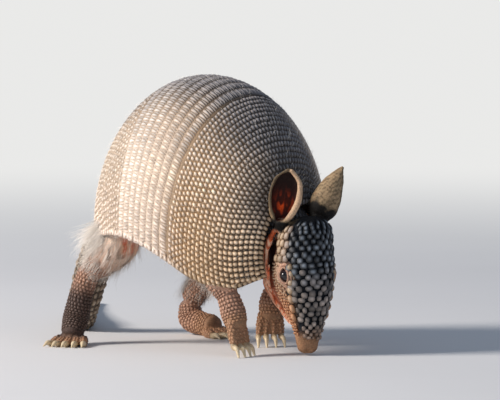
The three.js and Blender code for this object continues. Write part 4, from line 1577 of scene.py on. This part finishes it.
def tail_scales():
    """Broad rings of scutes, two rows to each, over most of the tail, then small scales to the tip."""
    coat = Coat()
    share = 0.0
    row = 0
    while share < 0.985:
        ringed = share < RINGED - 1e-6
        rear_row = ringed and row % 2 == 1
        radius = TAIL_ROUTE.radius(share)
        pitch = RINGED / (TAIL_RINGS * 2) if ringed else max(0.011, 0.9 * radius / TAIL_ROUTE.length)
        spacing = 3.6 if ringed else max(1.6, radius * 0.62)
        size, height, shade = (0.94, 1.25, 1.1) if rear_row else (0.84, 0.8, 0.85)
        tone = blend(TONES["tail_scute"] * shade, TONES["tail"], step(0.5, 1.0, share) * 0.6)
        offset = 0.5 * (row // (2 if ringed else 1) % 2)
        ring_of_scales(coat, TAIL_ROUTE, share + pitch / 2, TAIL_PATCH, spacing, pitch * 0.5,
                       size, height, tone, TONES["gap"] * 0.7, offset, 700 + row)
        share += pitch
        row += 1
    coat.piece("scutes_tail", LOOKS["scute"], "tail_scale")


# ---------------------------------------------------------------- hairs

SHELL_HAIRS = 1500
HEM_HAIRS = 3800
LEG_HAIRS = {"fore": 1300, "hind": 4200}


def shell_hairs():
    """Sparse short pale hairs between the scutes."""
    rng = seeded(500)
    coat = Coat()
    along = rng.uniform(0.02, 0.98, SHELL_HAIRS)
    across = rng.uniform(-1, 1, SHELL_HAIRS)
    roots = shell_point(along, across, PLATE_LIFT)
    out = unit_vectors(shell_point(along, across, 5.0) - roots)
    back = unit_vectors(shell_point(np.minimum(along + 0.01, 1), across) - shell_point(along, across))
    way = unit_vectors(0.7 * out + 0.8 * back + 0.15 * rng.normal(size=(SHELL_HAIRS, 3)))
    tones = tinted(np.tile(TONES["hair"], (SHELL_HAIRS, 1)), 0.1, 501)
    hairs(coat, roots, way, rng.uniform(3.5, 6.5, SHELL_HAIRS), np.full(SHELL_HAIRS, 0.11), tones,
          shell_map(along, across), droop=0.25, seed=502)
    coat.piece("hairs_shell", LOOKS["hair"], "shield")


def hem_hairs():
    """A short sparse fringe below the hem, and long soft hair that streams back from under its rear."""
    rng = seeded(510)
    coat = Coat()
    number = HEM_HAIRS
    rear = rng.random(number) < 0.74
    along = np.where(rear, rng.uniform(0.72, 0.985, number), rng.uniform(0.03, 0.72, number))
    side = rng.choice([-1, 1], number)
    across = side * (0.985 - rng.random(number) * np.where(rear, 0.08, 0.02))
    roots = shell_point(along, across, -3.6)
    stream = step(0.7, 0.82, along)
    way = unit_vectors(np.stack([side * lerp(0.2, rng.uniform(0.0, 1.0, number), stream),
                                 lerp(0.3, rng.uniform(0.4, 1.3, number), stream),
                                 -lerp(0.8, rng.uniform(0.1, 1.1, number), stream)], axis=-1))
    clump = wobble(roots, 6, 513)
    lengths = lerp(rng.uniform(3, 6, number), 6 + 17 * rng.random(number) ** 1.6, stream)
    pale = blend(TONES["soft_hair"], TONES["hair"], 0.6 * stream)
    tones = tinted(pale * (1 + 0.2 * clump)[:, None], 0.16, 511)
    hairs(coat, roots, way, lengths * (1 + 0.3 * clump), rng.uniform(0.09, 0.14, number), tones,
          shell_map(along, across), droop=0.15, seed=512)
    coat.piece("hairs_hem", LOOKS["hair"], "skin")


def clear_of_shell(roots, tips):
    """Which hairs neither start beneath the carapace nor come through it."""
    rooted, _ = under_shell(roots)
    covered, outside = under_shell(tips)
    return (rooted < 0.5) & ((covered < 0.1) | (outside < -4))


def leg_hairs():
    """Pale hair over the thighs and elbows, streaming back and down."""
    rng = seeded(520)
    for corner, (name, limb) in enumerate(LIMBS.items()):
        coat = Coat()
        hind = name.startswith("hind")
        number = LEG_HAIRS[name.split("_")[0]]
        route = ROUTES[name]["leg"]
        share = rng.uniform(0.15, 0.95 if hind else 0.85, number)
        angle = rng.uniform(0, 2 * math.pi, number)
        roots = route.surface(share, angle, -HIDE_DEPTH - 0.4)
        out = unit_vectors(roots - route.at(route.line, share))
        down = route.at(route.tangent, share)
        stray = 0.2 * rng.normal(size=(number, 3))
        way = unit_vectors(0.45 * out + 0.8 * down + [0, 0.35, -0.35] + stray)
        rearward = 0.7 + 0.75 * step(-0.2, 0.9, out[:, 1])
        lengths = rng.uniform(6, 15, number) * (1.0 if hind else 0.5) * (1.1 - 0.5 * share) * rearward
        clump = wobble(roots, 6, 540 + corner)
        lengths = lengths * (1 + 0.35 * clump)
        tones = tinted(TONES["soft_hair"] * (1 + 0.25 * clump)[:, None], 0.16, 521 + corner)
        places = np.stack([0.02 + CORNER_WIDTH * corner + 0.2 * share, 0.02 + 0.1 * angle], axis=-1)
        widths = rng.uniform(0.09, 0.15, number)
        behind = step(-0.35, 0.45, out @ [0.3 * np.sign(limb["leg"]["route"][0][0]), 0.95, 0])
        kept = rng.random(number) < (0.44 + 0.42 * behind) * (1 + 0.5 * clump)
        free = kept & clear_of_shell(roots, roots + way * lengths[:, None])
        hairs(coat, roots[free], way[free], lengths[free], widths[free], tones[free], places[free],
              droop=0.3, seed=530 + corner)
        coat.piece(f"hairs_{name}", LOOKS["hair"], "skin")


# ---------------------------------------------------------------- the animal

add_skin()
add_plates()
for shield, pattern in SHIELD_SCUTES.items():
    shield_scutes(shield, **pattern)
band_scutes()
hem_scutes()
head_scales()
cheek_scales()
nape_scales()
eyes()
claws()
limb_scales()
tail_scales()
shell_hairs()
hem_hairs()
leg_hairs()

# ---------------------------------------------------------------- camera, light and floor

VIEW = {"azimuth": -45, "elevation": 4, "target": [20.96, -20.96, 104], "distance": 4.0, "lens": 366}
BACKDROP = (0.82, 0.82, 0.81)


def direction(azimuth, elevation):
    """A direction seen from the animal: azimuth 0 is ahead of its face, growing towards its right."""
    a, e = math.radians(azimuth), math.radians(elevation)
    return Vector((math.sin(a) * math.cos(e), -math.cos(a) * math.cos(e), math.sin(e)))


def add_camera():
    data = bpy.data.cameras.new("camera")
    data.lens = VIEW["lens"]
    data.sensor_width = 36
    data.clip_end = 60
    camera = new_object("camera", data)
    back = direction(VIEW["azimuth"], VIEW["elevation"])
    camera.location = Vector(to_frame(VIEW["target"])) + back * VIEW["distance"]
    camera.rotation_euler = back.to_track_quat("Z", "Y").to_euler()
    bpy.context.scene.camera = camera


def add_lamp(name, azimuth, elevation, distance, size, watts, tint):
    data = bpy.data.lights.new(name, "AREA")
    data.size = size
    data.energy = watts
    data.color = tint
    lamp = new_object(name, data)
    way = direction(azimuth, elevation)
    lamp.location = way * distance + Vector((0, 0, 0.1))
    lamp.rotation_euler = way.to_track_quat("Z", "Y").to_euler()


def floor_look():
    """Pale card, which the camera sees fade into the backdrop behind the animal."""
    look, tree, shader = new_look("floor_card")
    place = own_place(tree)
    noise = node(tree, "ShaderNodeTexNoise", Vector=place, Scale=3.0, Detail=3.0)
    shade = node(tree, "ShaderNodeMapRange", Value=noise.outputs["Fac"], To_Min=0.7, To_Max=0.76)
    set_inputs(tree, shader, Base_Color=shade.outputs["Result"], Roughness=0.9)
    distance = tree.nodes.new("ShaderNodeVectorMath")
    distance.operation = "LENGTH"
    tree.links.new(place, distance.inputs[0])
    far = node(tree, "ShaderNodeMapRange", Value=distance.outputs["Value"], From_Min=0.45, From_Max=2.2)
    far.interpolation_type = "SMOOTHSTEP"
    amount = tree.nodes.new("ShaderNodeMath")
    amount.operation = "MULTIPLY"
    tree.links.new(far.outputs["Result"], amount.inputs[0])
    tree.links.new(from_camera(tree), amount.inputs[1])
    pale = node(tree, "ShaderNodeEmission", Color=(*BACKDROP, 1))
    mix = mixed(tree, amount.outputs["Value"], shader.outputs["BSDF"], pale.outputs["Emission"])
    tree.links.new(mix, tree.nodes["Material Output"].inputs["Surface"])
    return look


def add_floor(size=16.0):
    mesh = bpy.data.meshes.new("floor")
    half = size / 2
    corners = [(-half, -half, 0), (half, -half, 0), (half, half, 0), (-half, half, 0)]
    mesh.from_pydata(corners, [], [(0, 1, 2, 3)])
    mesh.materials.append(floor_look())
    new_object("floor", mesh)


def add_world(ambient, backdrop):
    """Soft light from all round, and an even backdrop for the camera."""
    world = bpy.data.worlds.new("studio")
    world.use_nodes = True
    bpy.context.scene.world = world
    tree = world.node_tree
    soft = tree.nodes["Background"]
    set_inputs(tree, soft, Color=(*ambient, 1))
    pale = node(tree, "ShaderNodeBackground", Color=(*backdrop, 1))
    mix = mixed(tree, from_camera(tree), soft.outputs["Background"], pale.outputs["Background"])
    tree.links.new(mix, tree.nodes["World Output"].inputs["Surface"])


add_camera()
add_lamp("key", azimuth=-117, elevation=30, distance=3.0, size=0.8, watts=116, tint=(1.0, 0.93, 0.87))
add_lamp("fill", azimuth=-10, elevation=30, distance=3.5, size=2.4, watts=8, tint=(0.78, 0.88, 1.0))
add_floor()
add_world((0.22, 0.26, 0.33), BACKDROP)
bpy.context.scene.view_settings.view_transform = "Standard"
